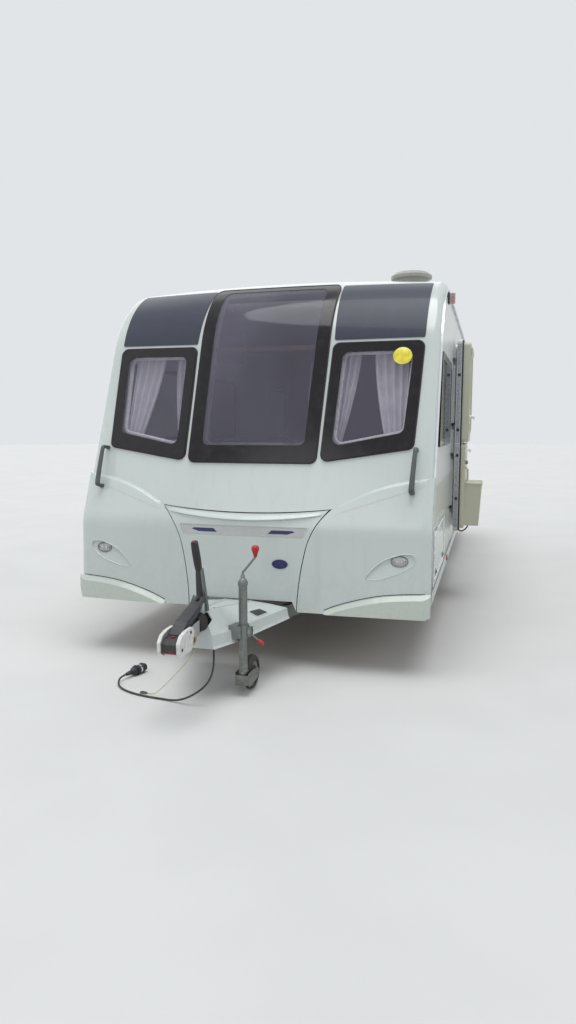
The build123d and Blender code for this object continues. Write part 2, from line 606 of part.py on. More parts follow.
def door_bin():
    hinge_x, hinge_y = DOOR_HINGE
    inner = hinge_y + (hinge_y - HALF_WIDTH) + DOOR_SLAB + DOOR_LINER - 22
    depth = 140
    x = (hinge_x + 160, hinge_x + 480)
    low = outline([(x[0] + 15, inner, 640), (x[1] - 15, inner, 640), (x[1] - 15, inner + depth - 20, 640),
                   (x[0] + 15, inner + depth - 20, 640)])
    high = outline([(x[0], inner, 985), (x[1], inner, 985), (x[1], inner + depth, 985), (x[0], inner + depth, 985)])
    tub = loft([low, high])
    lid = block((x[0] - 4, x[1] + 4), (inner, inner + depth + 5), (985, 1000))
    return tub + lid


def tyre(s):
    """Road tyre as a revolved section, with a broad rounded tread and bulging sidewalls."""
    half = TYRE_WIDTH / 2
    bead = (RIM_RADIUS + RIM_LAP, half - 22)
    bulge = (RIM_RADIUS + 80, half)
    shoulder = (TYRE_RADIUS - 24, half - 8)
    tread_edge = (TYRE_RADIUS - 4, half - 30)
    ring = [bead, bulge, shoulder, tread_edge]
    points = [(r, -y) for r, y in ring] + [(TYRE_RADIUS, 0)] + [(r, y) for r, y in reversed(ring)]
    face = outline([(r, y, 0) for r, y in points])
    return place_wheel(revolve(face, Axis.Y), s)


def place_wheel(piece, s):
    return Pos(AXLE_X, s * WHEEL_Y, TYRE_RADIUS) * piece


def alloy_wheel(s):
    lap = RIM_RADIUS + RIM_LAP
    flange = TYRE_WIDTH / 2 - 22
    barrel = outline([(lap, -flange, 0), (RIM_RADIUS - 10, -flange, 0), (RIM_RADIUS - 16, 40, 0),
                      (RIM_RADIUS - 16, 62, 0), (lap, flange, 0)])
    wheel = revolve(barrel, Axis.Y)
    disc = outline([(0, 30, 0), (60, 30, 0), (RIM_RADIUS - 14, 45, 0), (RIM_RADIUS - 14, 62, 0),
                    (62, 50, 0), (0, 50, 0)])
    spider = revolve(disc, Axis.Y)
    slot = Pos(0, 0, 118) * extrude(Rot(90, 0, 0) * fillet_slot(), 200, both=True)
    for i in range(10):
        spider -= Rot(0, 36 * i, 0) * slot
    wheel += spider
    if s < 0:
        wheel = mirror(wheel, Plane.XZ)
    return place_wheel(wheel, s)


def fillet_slot():
    face = make_face(Polyline((-17, -34), (17, -34), (27, 34), (-27, 34), close=True).edges()).face()
    return face.fillet_2d(10, face.vertices())


def axle_tube(half_length):
    """The hexagonal axle tube, which crosses the chassis rails through holes of its own shape."""
    start = Plane(origin=(AXLE_TUBE[0], -half_length, AXLE_TUBE[1]), x_dir=(1, 0, 0), z_dir=(0, 1, 0))
    return start * extrude(RegularPolygon(AXLE_TUBE_RADIUS, 6), 2 * half_length)


def axle_beam():
    x, z = AXLE_TUBE
    end = ARCH_INNER - 40
    beam = axle_tube(end)
    for s in (1, -1):
        arm = side_plate([(x + 60, z + 45), (x + 60, z - 50), (AXLE_X - 45, TYRE_RADIUS - 40),
                          (AXLE_X - 45, TYRE_RADIUS + 40)], (s * end, s * (end + 35)), 30)
        spindle = side_plate_disc(AXLE_X, TYRE_RADIUS, 36, (s * (end + 35), s * (WHEEL_Y + 29)))
        drum = side_plate_disc(AXLE_X, TYRE_RADIUS, 115, (s * (WHEEL_Y - 132), s * (WHEEL_Y - 65)))
        beam += arm + spindle + drum
    return beam


def drawbar_arm(s):
    (x0, y0), (x1, y1) = DRAWBAR_NOSE, DRAWBAR_TAIL
    plan = [(x0, s * (y0 - ARM_WIDTH)), (x0, s * y0), (x1, s * y1), (x1, s * (y1 - ARM_WIDTH))]
    return plan_plate(plan, ARM_HEIGHTS)


def chassis_frame():
    rail_y = (DRAWBAR_TAIL[1] - ARM_WIDTH, DRAWBAR_TAIL[1])
    frame = Part()
    for s in (1, -1):
        rail = block((-6900, DRAWBAR_TAIL[0]), (s * rail_y[0], s * rail_y[1]), (250, SKIRT_HEIGHT))
        for i in range(9):
            rail -= side_plate_disc(-1950 - 560 * i, 330, 45, (s * (rail_y[0] - 10), s * (rail_y[1] + 10)))
        frame += rail + drawbar_arm(s)
    for x in CROSS_MEMBERS:
        frame += block((x - 25, x + 25), (-rail_y[0], rail_y[0]), (340, SKIRT_HEIGHT))
    for x in STEADIES:
        for s in (1, -1):
            for side in (1, -1):
                frame += block((x + side * 26, x + side * 32), (s * rail_y[1], s * (STEADY_PIVOT[0] + 24)),
                               (350, SKIRT_HEIGHT))
            pin = Plane(origin=(x - 32, s * STEADY_PIVOT[0], STEADY_PIVOT[1]), z_dir=(1, 0, 0))
            frame += pin * Cylinder(8, 64, align=(Align.CENTER, Align.CENTER, Align.MIN))
    frame += rod((CABLE_POINTS[0][0], CABLE_POINTS[0][1], CABLE_POINTS[0][2]),
                 (CABLE_POINTS[0][0], CABLE_POINTS[0][1], ARM_HEIGHTS[0] + 1), 9)
    return frame - axle_tube(700)


def corner_steady(x, s):
    """A corner leg, wound up flat under the floor, on a pin between two cheeks of the chassis."""
    y, z = STEADY_PIVOT
    leg = end_plate([(s * y, z + 18), (s * y, z - 18), (s * (y + 385), z - 22), (s * (y + 415), z - 22),
                     (s * (y + 415), z + 4)], (x - 21, x + 21))
    eye = Plane(origin=(x - 21, s * y, z), z_dir=(1, 0, 0)) * Cylinder(
        18, 42, align=(Align.CENTER, Align.CENTER, Align.MIN))
    hole = Plane(origin=(x - 30, s * y, z), z_dir=(1, 0, 0)) * Cylinder(
        8.1, 60, align=(Align.CENTER, Align.CENTER, Align.MIN))
    pad = block((x - 60, x + 60), (s * (y + 370), s * (y + 440)), (z - 32, z - 22))
    return leg + eye + pad - hole


def overrun_housing():
    housing = side_plate([(-330, ARM_HEIGHTS[1]), (-330, HOUSING_TOP), (-640, HOUSING_TOP - 20),
                          (-640, ARM_HEIGHTS[1])], (-45, 45))
    return housing + rod((-420, 0, DRAW_TUBE_Z), (-200, 0, DRAW_TUBE_Z), DRAW_TUBE_RADIUS)


def bellows():
    rings = [(25, -290)]
    for i in range(5):
        rings += [(52, -286 + 18 * i), (40, -277 + 18 * i)]
    rings += [(52, -200), (25, -200)]
    points = [(x, 0, r) for r, x in rings]
    face = outline(points)
    return Pos(0, 0, DRAW_TUBE_Z) * revolve(face, Axis.X)


def coupling_head():
    """Body with a cheek cover and a friction disc on each side, and the socket for the ball."""
    body = side_plate(COUPLING_BODY, (-COUPLING_HALF, COUPLING_HALF))
    x, z, radius = FRICTION_DISC
    for s in (1, -1):
        body += side_plate(COUPLING_CHEEK, (s * COUPLING_HALF, s * CHEEK_HALF), 14)
        body += side_plate_disc(x, z, radius, (s * COUPLING_HALF, s * (COUPLING_HALF + 11)))
    socket = Pos(0, 0, 370) * Cylinder(25, BALL_HEIGHT + 4 - 370, align=(Align.CENTER, Align.CENTER, Align.MIN))
    return body - socket - Pos(0, 0, BALL_HEIGHT + 4) * Sphere(25)


def stabiliser_handle():
    handle = side_plate(STABILISER, (-34, 34), 4)
    handle &= plan_plate([(30, -34), (30, 34), (-240, 30), (-330, 22), (-330, -22), (-240, -30)], (400, 700))
    handle -= plan_plate([(-262, -11), (-262, 11), (-302, 9), (-302, -9)], (400, 700), 6)
    return largest(handle - coupling_head())


def handbrake_lever():
    lever = side_plate([(-410, HOUSING_TOP - 20), (-360, HOUSING_TOP - 20), (-332, 690), (-268, 872), (-300, 878),
                        (-372, 690)], (-28, -8))
    return largest(lever - overrun_housing())


def cover_form(depth):
    """The drawbar cover as a filled hood, a depth inside its outer face."""
    faces = []
    for x, half in COVER_SECTIONS:
        low, high = half[0][1] - depth, -depth * 0.8
        rows = [(y - depth, z + high if i else low) for i, (y, z) in enumerate(half)]
        faces.append(outline([(x, y, z) for y, z in rows + mirrored(reversed(rows))]))
    return loft(faces, ruled=True)


def drawbar_cover():
    """A hood over the drawbar, open underneath and at the rear, with a slot for the handbrake lever."""
    hood = cover_form(0) - (cover_form(COVER_WALL) - block((-COVER_WALL + COVER_SECTIONS[0][0], 0), (-400, 400),
                                                          (200, 600)))
    hood -= block((-425, -300), (-38, 2), (400, 600))
    x, y = JOCKEY
    gap = COVER_CLAMP_NOTCH
    hood -= block((x - 40 - gap, x + 40 + gap), (100, 300), (200, CLAMP_HEIGHTS[1] + gap))
    return largest(hood - rod((-340, 0, DRAW_TUBE_Z), (-250, 0, DRAW_TUBE_Z), 56))


def jockey_clamp():
    x, y = JOCKEY
    low, high = CLAMP_HEIGHTS
    bracket = block((x - 40, x + 40), (y - 100, y), CLAMP_HEIGHTS) - drawbar_arm(1)
    ring = rod((x, y, low - 4), (x, y, high + 4), JOCKEY_TUBE_RADIUS + 9)
    ring += block((x - 14, x + 14), (y, y + 52), (low + 8, high - 8))
    lever = rod((x, y + 48, low + 20), (x, y + 105, low - 25), 5)
    return largest(bracket) + ring + lever - rod((x, y, 300), (x, y, 450), JOCKEY_TUBE_RADIUS)


def jockey_tube():
    x, y = JOCKEY
    tube = rod((x, y, 125), (x, y, 642), JOCKEY_TUBE_RADIUS) - rod((x, y, 120), (x, y, 600), JOCKEY_TUBE_RADIUS - 4)
    crank = bent_rod([(x, y, 642), (x, y, 690), (x + 8, y + 75, 780), (x + 8, y + 75, 808)], 6, [12, 12])
    knob = Pos(x + 8, y + 75, 822) * Sphere(18)
    return tube + crank + knob


def jockey_fork():
    x, y = JOCKEY
    sleeve = rod((x, y, 60), (x, y, 119), 27) + rod((x, y, 118), (x, y, 320), JOCKEY_TUBE_RADIUS - 5)
    axle_x = x - JOCKEY_TRAIL
    for s in (1, -1):
        arm = side_plate([(x + 15, 116), (x + 15, 66), (axle_x - 16, 78), (axle_x - 16, 112)],
                         (y + s * 31, y + s * 37), 12)
        sleeve += arm + block((x - 15, x + 15), (y + s * 20, y + s * 37), (70, 112))
    return sleeve + rod((axle_x, y - 37, JOCKEY_WHEEL_RADIUS), (axle_x, y + 37, JOCKEY_WHEEL_RADIUS), 9.9)


def jockey_wheel():
    x, y = JOCKEY
    face = outline([(10, -26, 0), (30, -26, 0), (36, -14, 0), (62, -14, 0), (66, -26, 0), (86, -24, 0),
                    (JOCKEY_WHEEL_RADIUS, -10, 0), (JOCKEY_WHEEL_RADIUS, 10, 0), (86, 24, 0), (66, 26, 0),
                    (62, 14, 0), (36, 14, 0), (30, 26, 0), (10, 26, 0)])
    return Pos(x - JOCKEY_TRAIL, y, JOCKEY_WHEEL_RADIUS) * revolve(face, Axis.Y)


def marker_lights():
    light = block((-1965, -1905), (HALF_WIDTH + 12, HALF_WIDTH + 62), (ROOF_HEIGHT - 220, ROOF_HEIGHT - 145))
    return both(light)


AERIAL_SETBACK = 695.976        # from the front's upper corner back to the dome's centre


def aerial_dome():
    face = outline([(0, 0, -50), (120, 0, -50), (120, 0, 25), (148, 0, 35), (150, 0, 55), (120, 0, 78),
                    (60, 0, 86), (0, 0, 88)])
    return Pos(FRONT_TOP[0] - AERIAL_SETBACK, HALF_WIDTH - 280, ROOF_HEIGHT) * revolve(face, Axis.Z) - layer(0, 90, ROOF_PATH)


def rooflights():
    lights = []
    for x, y, lx, ly in ((-3650, 0, 720, 560), (-6250, -250, 420, 420)):
        body = plan_plate([(x - lx / 2, y - ly / 2), (x + lx / 2, y - ly / 2), (x + lx / 2, y + ly / 2),
                           (x - lx / 2, y + ly / 2)], (ROOF_HEIGHT - 25, ROOF_HEIGHT + 55), 50)
        lights.append(body - layer(0, 90, ROOF_PATH))
    return Part() + lights


def front_chest():
    return block((-1900, -1520), (-380, 380), (FLOOR_TOP, 1060))


def seat_boxes():
    """Bench bases along both sides, open inside as lockers."""
    front = block((-3200, -1520), (480, 498), (FLOOR_TOP, 800))
    top = block((-3200, -1520), (480, INNER_HALF), (800, 815))
    end = block((-3200, -3185), (498, INNER_HALF), (FLOOR_TOP, 800))
    return both(front + top + end)


def seat_cushions():
    wall = INNER_HALF - 5
    seat = block((-3195, -1525), (485, wall), (815, 925))
    back = block((-3195, -1525), (wall - 120, wall), (925, 1260))
    return both(seat + back)


# Overhead lockers and the rail box of the front curtains: their undersides and tops
LOCKERS = (ROOF_HEIGHT - 460, ROOF_HEIGHT - 140)
CURTAIN_FOOT = 1350.0
RAIL = (ROOF_HEIGHT - 545, ROOF_HEIGHT - 515)


def overhead_lockers():
    locker = side_plate([(-3300, LOCKERS[0]), (-3300, LOCKERS[1]), (-2150, LOCKERS[1]), (-2000, LOCKERS[0])],
                        (780, INNER_HALF))
    return both(locker)


def kitchen_unit():
    return block((-4240, -3300), (-INNER_HALF, -500), (FLOOR_TOP, 1340))


def washroom_partition():
    panel = block((-6060, -6040), (-INNER_HALF, INNER_HALF), (FLOOR_TOP, ROOF_HEIGHT + 80))
    return largest(panel - layer(-BUMPER_PROUD, WALL, ROOF_PATH))


def front_pelmet():
    """The rail box over the front windows, which the curtains hang from."""
    pelmet = side_plate(rectangle((-1570, -1450), RAIL), (-HALF_WIDTH + 80, HALF_WIDTH - 80))
    return largest(pelmet - layer(-BUMPER_PROUD, WALL, FRONT_PATH))


def curtains():
    drapes = []
    for y0, y1 in ((500, 560), (HALF_WIDTH - 200, HALF_WIDTH - 140)):
        drapes.append(side_plate([(-1310, CURTAIN_FOOT), (-1275, CURTAIN_FOOT), (-1515, RAIL[0]), (-1550, RAIL[0])], (y0, y1)))
    return both(Part() + drapes)


# Towing cable: points of its route from the drawbar to the plug, and its radius
CABLE_RADIUS = 5.5
CABLE_POINTS = [(-350, 58, 291), (-350, 58, 246), (-334, 63, 208), (-292, 72, 168), (-252, 62, 128),
                (-236, 26, 90), (-236, -26, 54), (-244, -84, 24), (-256, -144, 8), (-266, -206, 6),
                (-272, -268, 6), (-281, -330, 6), (-296, -392, 6), (-318, -448, 6), (-348, -500, 6),
                (-382, -538, 8), (-422, -562, 16), (-466, -572, 26), (-512, -560, 27)]


def cable_path(points, name):
    corners = [Vector(*p) for p in points]
    radii = []
    for a, b, c in zip(corners, corners[1:], corners[2:]):
        turn = math.radians((b - a).get_angle(c - b))
        shorter = min((b - a).length, (c - b).length)
        radii.append(0.45 * shorter / math.tan(turn / 2))
    print(name, "bend radii", [round(r) for r in radii])
    return FilletPolyline(*points, radius=radii)


def cord(points, radius, name):
    path = cable_path(points, name)
    tube = sweep(Plane(origin=path @ 0, z_dir=path % 0) * Circle(radius), path=path)
    print(name, "length", round(path.length), "volume ratio", tube.volume / (math.pi * radius ** 2 * path.length))
    return tube


def along_last_run(points):
    """The place at a cord's end, with its x axis pointing back along the cord."""
    end, before = Vector(*points[-1]), Vector(*points[-2])
    return Plane(origin=end, x_dir=before - end, z_dir=(0, 0, 1))


def towing_plug():
    """Boot, body, collar and contact block of the plug, which lies on the ground."""
    face = outline([(0, 0, 0), (0, 0, 9), (-44, 0, 14), (-60, 0, 24), (-112, 0, 26), (-112, 0, 27), (-138, 0, 27),
                    (-138, 0, 24), (-160, 0, 22), (-160, 0, 0)])
    return along_last_run(CABLE_POINTS) * revolve(face, Axis.X)


# Breakaway cable: thin coated wire from the handbrake to the ground, ending in a spring clip
BREAKAWAY_RADIUS = 2.0
BREAKAWAY_POINTS = [(-345, -45, 305), (-345, -45, 278), (-341, -64, 244), (-336, -94, 206), (-331, -130, 160),
                    (-327, -172, 114), (-323, -212, 72), (-320, -250, 34), (-320, -288, 4), (-326, -332, 4)]


def breakaway_clip():
    """Spring clip of flat wire, lying on the ground with its eye at the cable's end."""
    loop = outline([(0, -9), (0, 9), (-44, 13), (-44, -13)], 8) - outline([(-5, -5), (-5, 5), (-39, 8.4), (-39, -8.4)], 5)
    return along_last_run(BREAKAWAY_POINTS) * Pos(0, 0, -3.5) * extrude(loop, 7)


def both_sides(make, *more):
    """One node that holds a piece of each side."""
    return Part() + [make(1, *more), make(-1, *more)]


def furniture():
    """Everything of wood that shows through the windows, standing on the floor or fixed to the walls."""
    return Part() + [front_chest(), seat_boxes(), overhead_lockers(), kitchen_unit(), washroom_partition(),
                     front_pelmet()]


def window_set():
    left, right, rear = side_windows(1, LEFT_WINDOWS), side_windows(-1, RIGHT_WINDOWS), rear_window()
    return [Part() + list(parts) for parts in zip(left, right, rear)]


def make_nodes():
    nodes = {
        "front_panel": front_panel(), "gas_locker_lid": gas_locker_lid(),
        "front_bumpers": both_sides(front_bumper), "front_dark_panels": dark_panels(),
        "lamps": Part() + [both_sides(front_lamp), rear_lamps(), marker_lights()], "grab_handles": grab_handles(),
        "roof_panel": roof_panel(), "rear_panel": rear_panel(), "rear_bumper": rear_bumper(),
        "side_wall_left": side_wall(1, LEFT_WINDOWS), "side_wall_right": side_wall(-1, RIGHT_WINDOWS),
        "awning_rails": both_sides(awning_rail), "side_skirts": both_sides(side_skirt),
        "wheel_arches": both_sides(wheel_arch), "floor_panel": floor_panel(),
        "locker_bulkhead": locker_bulkhead(), "wall_vents": wall_vents(),
        "hatch_frames": service_hatch_frame(SIDE_LOCKER, 1) + service_hatch_frame(TOILET_HATCH, -1),
        "side_locker_hatch": service_hatch_door(SIDE_LOCKER, 1),
        "service_hatch": service_hatch_door(TOILET_HATCH, -1),
        "door_frame": door_frame(), "door_slab": door_slab(), "door_liner": door_liner(),
        "door_pane": door_pane(), "door_bin": door_bin(),
        "axle_beam": axle_beam(), "chassis_frame": chassis_frame(), "overrun_housing": overrun_housing(),
        "bellows": bellows(), "coupling_head": coupling_head(), "stabiliser_handle": stabiliser_handle(),
        "handbrake_lever": handbrake_lever(), "drawbar_cover": drawbar_cover(),
        "jockey_clamp": jockey_clamp(), "jockey_tube": jockey_tube(), "jockey_fork": jockey_fork(),
        "jockey_wheel": jockey_wheel(), "aerial_dome": aerial_dome(), "rooflights": rooflights(),
        "furniture": furniture(), "seat_cushions": seat_cushions(), "curtains": curtains(),
        "towing_cable": cord(CABLE_POINTS, CABLE_RADIUS, "towing cable"), "towing_plug": towing_plug(),
        "breakaway_cable": cord(BREAKAWAY_POINTS, BREAKAWAY_RADIUS, "breakaway cable"),
        "breakaway_clip": breakaway_clip(),
    }
    nodes["front_window_frames"], nodes["front_window_panes"] = front_windows()
    nodes["window_frames"], nodes["window_panes"] = window_set()
    for name, s in (("left", 1), ("right", -1)):
        nodes["tyre_" + name] = tyre(s)
        nodes["alloy_wheel_" + name] = alloy_wheel(s)
        nodes["front_steady_" + name] = corner_steady(STEADIES[0], s)
        nodes["rear_steady_" + name] = corner_steady(STEADIES[1], s)
    return nodes


os.makedirs("parts", exist_ok=True)
for name, piece in make_nodes().items():
    export_step(Pos(0, 0, -BALL_HEIGHT) * piece, "parts/" + name + ".step")
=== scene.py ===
"""Touring caravan: finishes, soft parts and small fittings round the CAD frame. Lengths are metres."""
import json
import math
import random

import bmesh
import bpy
from mathutils import Matrix, Vector
from mathutils.bvhtree import BVHTree


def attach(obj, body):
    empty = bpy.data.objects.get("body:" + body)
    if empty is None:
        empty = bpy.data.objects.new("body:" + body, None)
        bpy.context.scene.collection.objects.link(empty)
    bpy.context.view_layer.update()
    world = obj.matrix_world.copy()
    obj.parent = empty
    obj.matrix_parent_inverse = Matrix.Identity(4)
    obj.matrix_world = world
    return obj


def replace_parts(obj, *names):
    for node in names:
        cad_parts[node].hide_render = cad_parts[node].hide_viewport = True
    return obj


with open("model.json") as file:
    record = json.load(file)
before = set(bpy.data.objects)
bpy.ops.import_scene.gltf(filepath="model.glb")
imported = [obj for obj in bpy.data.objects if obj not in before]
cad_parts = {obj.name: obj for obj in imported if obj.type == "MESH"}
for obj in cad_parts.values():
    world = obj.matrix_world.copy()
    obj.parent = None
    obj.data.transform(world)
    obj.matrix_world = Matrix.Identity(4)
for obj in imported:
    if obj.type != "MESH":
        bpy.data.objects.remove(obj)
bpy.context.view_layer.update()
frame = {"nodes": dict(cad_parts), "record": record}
NODES = frame["nodes"]
BODY = "caravan"
BALL_HEIGHT = 0.430              # the frame's origin is the ball centre, this high above the ground
HALF_WIDTH = 1.140
SIDES = (("left", 1), ("right", -1))
UP, FORWARD, LEFTWARD = Vector((0, 0, 1)), Vector((1, 0, 0)), Vector((0, 1, 0))


def above(height):
    """A height over the ground as a z of the frame."""
    return height - BALL_HEIGHT


def at(x, y, height):
    """A point of the frame whose height is over the ground."""
    return Vector((x, y, above(height)))


def srgb(r, g, b):
    """A colour as a picture shows it, 0 to 255, in the linear values that shaders use."""
    return tuple(c / 3294.6 if c <= 10 else ((c / 255 + 0.055) / 1.055) ** 2.4 for c in (r, g, b))


def shade(colour, factor):
    return tuple(c * factor for c in colour)


# Materials

class Net:
    """One node material while it is built."""

    def __init__(self, name, base, roughness, metallic=0.0, **sockets):
        self.material = bpy.data.materials.new(name)
        self.material.use_nodes = True
        self.tree = self.material.node_tree
        self.shader = self.tree.nodes["Principled BSDF"]
        self.set("Base Color", (*base, 1.0))
        self.set("Roughness", roughness)
        self.set("Metallic", metallic)
        for key, value in sockets.items():
            self.set(key.replace("_", " "), value)
        self.place = self.node("TexCoord").outputs["Object"]
        self.parts = self.node("SeparateXYZ", {"Vector": self.place}).outputs
        self.normal = None

    def node(self, kind, inputs=None, **settings):
        node = self.tree.nodes.new("ShaderNode" + kind)
        for key, value in settings.items():
            setattr(node, key, value)
        for key, value in (inputs or {}).items():
            self.feed(node.inputs[key], value)
        return node

    def feed(self, socket, value):
        if isinstance(value, bpy.types.NodeSocket):
            self.tree.links.new(value, socket)
        else:
            socket.default_value = value

    def set(self, key, value):
        self.feed(self.shader.inputs[key], value)

    def stretched(self, stretch):
        """The place on the piece, with each axis multiplied."""
        return self.node("Mapping", {"Vector": self.place, "Scale": stretch}).outputs["Vector"]

    def noise(self, scale, detail, roughness=0.5, stretch=(1, 1, 1)):
        inputs = {"Vector": self.stretched(stretch), "Scale": scale, "Detail": detail, "Roughness": roughness}
        return self.node("TexNoise", inputs).outputs["Fac"]

    def cells(self, scale, output="Distance"):
        return self.node("TexVoronoi", {"Vector": self.stretched((1, 1, 1)), "Scale": scale}).outputs[output]

    def waves(self, scale, distortion, direction, stretch=(1, 1, 1)):
        inputs = {"Vector": self.stretched(stretch), "Scale": scale, "Distortion": distortion}
        return self.node("TexWave", inputs, bands_direction=direction).outputs["Fac"]

    def mask(self, value, low, high):
        """0 at low, 1 at high, and smooth between them."""
        inputs = {"Value": value, "From Min": low, "From Max": high}
        return self.node("MapRange", inputs, interpolation_type="SMOOTHSTEP").outputs["Result"]

    def patches(self, scale, detail, low, high, roughness=0.5, stretch=(1, 1, 1)):
        """Noise with its low parts at 0 and its high parts at 1."""
        return self.mask(self.noise(scale, detail, roughness, stretch), low, high)

    def below(self, top, bottom):
        """0 over one height above the ground and 1 under a lower one."""
        return self.mask(self.parts["Z"], above(top), above(bottom))

    def spread(self, value, low, high):
        """A 0 to 1 value put between two others."""
        return self.node("MapRange", {"Value": value, "To Min": low, "To Max": high}).outputs["Result"]

    def math(self, operation, a, b=0.0):
        node = self.node("Math", operation=operation)
        self.feed(node.inputs[0], a)
        self.feed(node.inputs[1], b)
        return node.outputs[0]

    def times(self, a, b):
        return self.math("MULTIPLY", a, b)

    def blend(self, factor, a, b):
        node = self.node("Mix", data_type="RGBA")
        for index, value in ((0, factor), (6, a), (7, b)):
            self.feed(node.inputs[index], (*value, 1.0) if isinstance(value, tuple) else value)
        return node.outputs[2]

    def over(self, ground, colour, where, amount):
        """A colour laid over another by a mask times an amount."""
        return self.blend(self.times(where, amount), ground, colour)

    def bump(self, height, distance, strength):
        inputs = {"Height": height, "Distance": distance, "Strength": strength}
        if self.normal is not None:
            inputs["Normal"] = self.normal
        self.normal = self.node("Bump", inputs).outputs["Normal"]
        self.set("Normal", self.normal)

    def colour(self, value):
        self.set("Base Color", value)

    def rough(self, value, low, high):
        self.set("Roughness", self.spread(value, low, high))

    def worn_edges(self, colour, wear, amount):
        """Lightens or bares the convex edges."""
        point = self.node("NewGeometry").outputs["Pointiness"]
        edge = self.times(self.mask(point, 0.515, 0.57), self.patches(60, 3, 0.4, 0.65))
        return self.over(colour, wear, edge, amount)


GRIME = srgb(120, 122, 108)


def white_shell(name, base, roughness=0.2, grime=0.35, band=False):
    """Glossy white panel with a soft change of tone, rain streaks, road dust low down and orange peel."""
    m = Net(name, base, roughness, Coat_Weight=0.25, Coat_Roughness=0.06)
    tone = m.blend(m.patches(0.9, 3, 0.35, 0.65), shade(base, 0.965), shade(base, 1.02))
    if band:
        tone = m.blend(m.below(1.103, 1.099), tone, srgb(186, 191, 180))
    rain = m.patches(5, 7, 0.5, 0.8, 0.6, (4, 4, 0.3))
    splash = m.times(m.below(0.80, 0.34), m.patches(16, 8, 0.35, 0.85, 0.7))
    tone = m.over(tone, GRIME, rain, 0.25 * grime)
    tone = m.over(tone, GRIME, splash, 0.6 * grime)
    dotted = m.times(m.mask(m.cells(240), 0.10, 0.04), m.patches(5, 2, 0.5, 0.7))
    m.colour(m.over(tone, shade(GRIME, 0.6), dotted, 0.5 * grime))
    m.rough(m.math("ADD", m.times(splash, 0.6), m.times(rain, 0.25)), roughness, 0.55)
    m.bump(m.noise(1.6, 2), 0.006, 0.35)
    m.bump(m.noise(420, 2), 0.00012, 0.5)
    return m.material


def gloss_black(name, base, roughness=0.1, gloss=0.35):
    """Painted border of an acrylic window: deep gloss with dust and fine scratches."""
    m = Net(name, base, roughness, Coat_Weight=0.1, Coat_Roughness=0.04, IOR=1.42, Specular_IOR_Level=gloss)
    dust = m.patches(14, 8, 0.45, 0.8, 0.65)
    m.colour(m.over(base, srgb(120, 116, 112), dust, 0.05))
    m.rough(dust, roughness, 0.3)
    m.bump(m.noise(2.5, 2), 0.003, 0.3)
    m.bump(m.noise(90, 4, stretch=(1, 1, 8)), 0.00008, 0.4)
    return m.material


def smoked_acrylic(name, base=srgb(100, 98, 112), low=0.27, high=0.36, outer=None, gloss=0.4):
    """Tinted twin-wall acrylic: a haze that what is inside shows through. The haze's pale colour is partly
    the tint and partly painted reflection of the sky.
    Past the middle window it is lighter and clearer where outer gives a share of its density; there the
    lighter colour keeps the same painted reflection while more light passes."""
    m = Net(name, base, 0.05, IOR=1.45, Specular_IOR_Level=gloss)
    haze = m.noise(1.1, 3, stretch=(1, 1, 0.5))
    # painted reflection: the pale, uneven base colour stands in partly for sky reflected in the acrylic
    tone = m.blend(m.mask(haze, 0.35, 0.7), shade(base, 0.85), shade(base, 1.25))
    density = m.spread(m.mask(haze, 0.3, 0.7), low, high)
    if outer:
        past = m.mask(m.math("ABSOLUTE", m.parts["Y"]), 0.445, 0.455)
        # painted reflection: past the middle window the colour is lighter so the haze stays as bright with
        # less density
        tone = m.blend(past, tone, shade(base, 1.9))
        density = m.times(density, m.spread(past, 1.0, outer))
    m.colour(tone)
    m.set("Alpha", density)
    m.bump(m.noise(1.9, 2), 0.004, 0.35)
    return m.material


def satin_plastic(name, base, roughness=0.45, grain=900, wear=None, dust=0.15, rub=0.6):
    """Moulded plastic with a fine grain, dust in the hollows and rubbed edges."""
    m = Net(name, base, roughness)
    dusty = m.patches(18, 6, 0.45, 0.75, 0.6)
    tone = m.over(base, srgb(150, 146, 134), dusty, dust)
    m.colour(m.worn_edges(tone, wear or shade(base, 1.8), rub))
    m.rough(dusty, roughness, min(roughness + 0.2, 0.9))
    m.bump(m.noise(grain, 2), 0.0001, 0.4)
    return m.material


def galvanised(name, base):
    """Dull zinc with its spangle, white bloom and a little rust at the edges."""
    m = Net(name, base, 0.42, 0.85)
    grey = m.node("RGBToBW", {"Color": m.cells(70, "Color")}).outputs["Val"]
    tone = m.blend(m.mask(grey, 0.2, 0.8), shade(base, 0.90), shade(base, 1.08))
    bloom = m.patches(5, 6, 0.45, 0.75, 0.55, (1, 1, 0.4))
    tone = m.over(tone, srgb(140, 144, 139), bloom, 0.3)
    tone = m.worn_edges(tone, srgb(112, 84, 60), 0.2)
    low = m.times(m.below(0.20, 0.0), m.patches(30, 6, 0.4, 0.7))
    m.colour(m.over(tone, srgb(104, 92, 68), low, 0.6))
    m.set("Metallic", m.spread(bloom, 0.85, 0.35))
    m.rough(bloom, 0.36, 0.68)
    m.bump(m.noise(140, 5), 0.0002, 0.4)
    return m.material


def bare_metal(name, base, roughness, grain=(1, 1, 1), dirt=0.2):
    m = Net(name, base, roughness, 1.0)
    dirty = m.patches(16, 7, 0.45, 0.75, 0.65)
    m.colour(m.over(base, srgb(96, 90, 80), dirty, dirt))
    m.rough(dirty, roughness, min(roughness + 0.3, 0.9))
    m.bump(m.noise(300, 3, stretch=grain), 0.0001, 0.5)
    return m.material


def rubber(name, base=srgb(36, 36, 37), ground_dust=0.5):
    m = Net(name, base, 0.62)
    dust = m.patches(26, 7, 0.35, 0.75, 0.6)
    m.colour(m.over(base, srgb(126, 116, 98), dust, m.spread(m.below(0.30, 0.0), 0.15, ground_dust)))
    m.rough(dust, 0.5, 0.85)
    m.bump(m.noise(600, 3), 0.0002, 0.6)
    return m.material


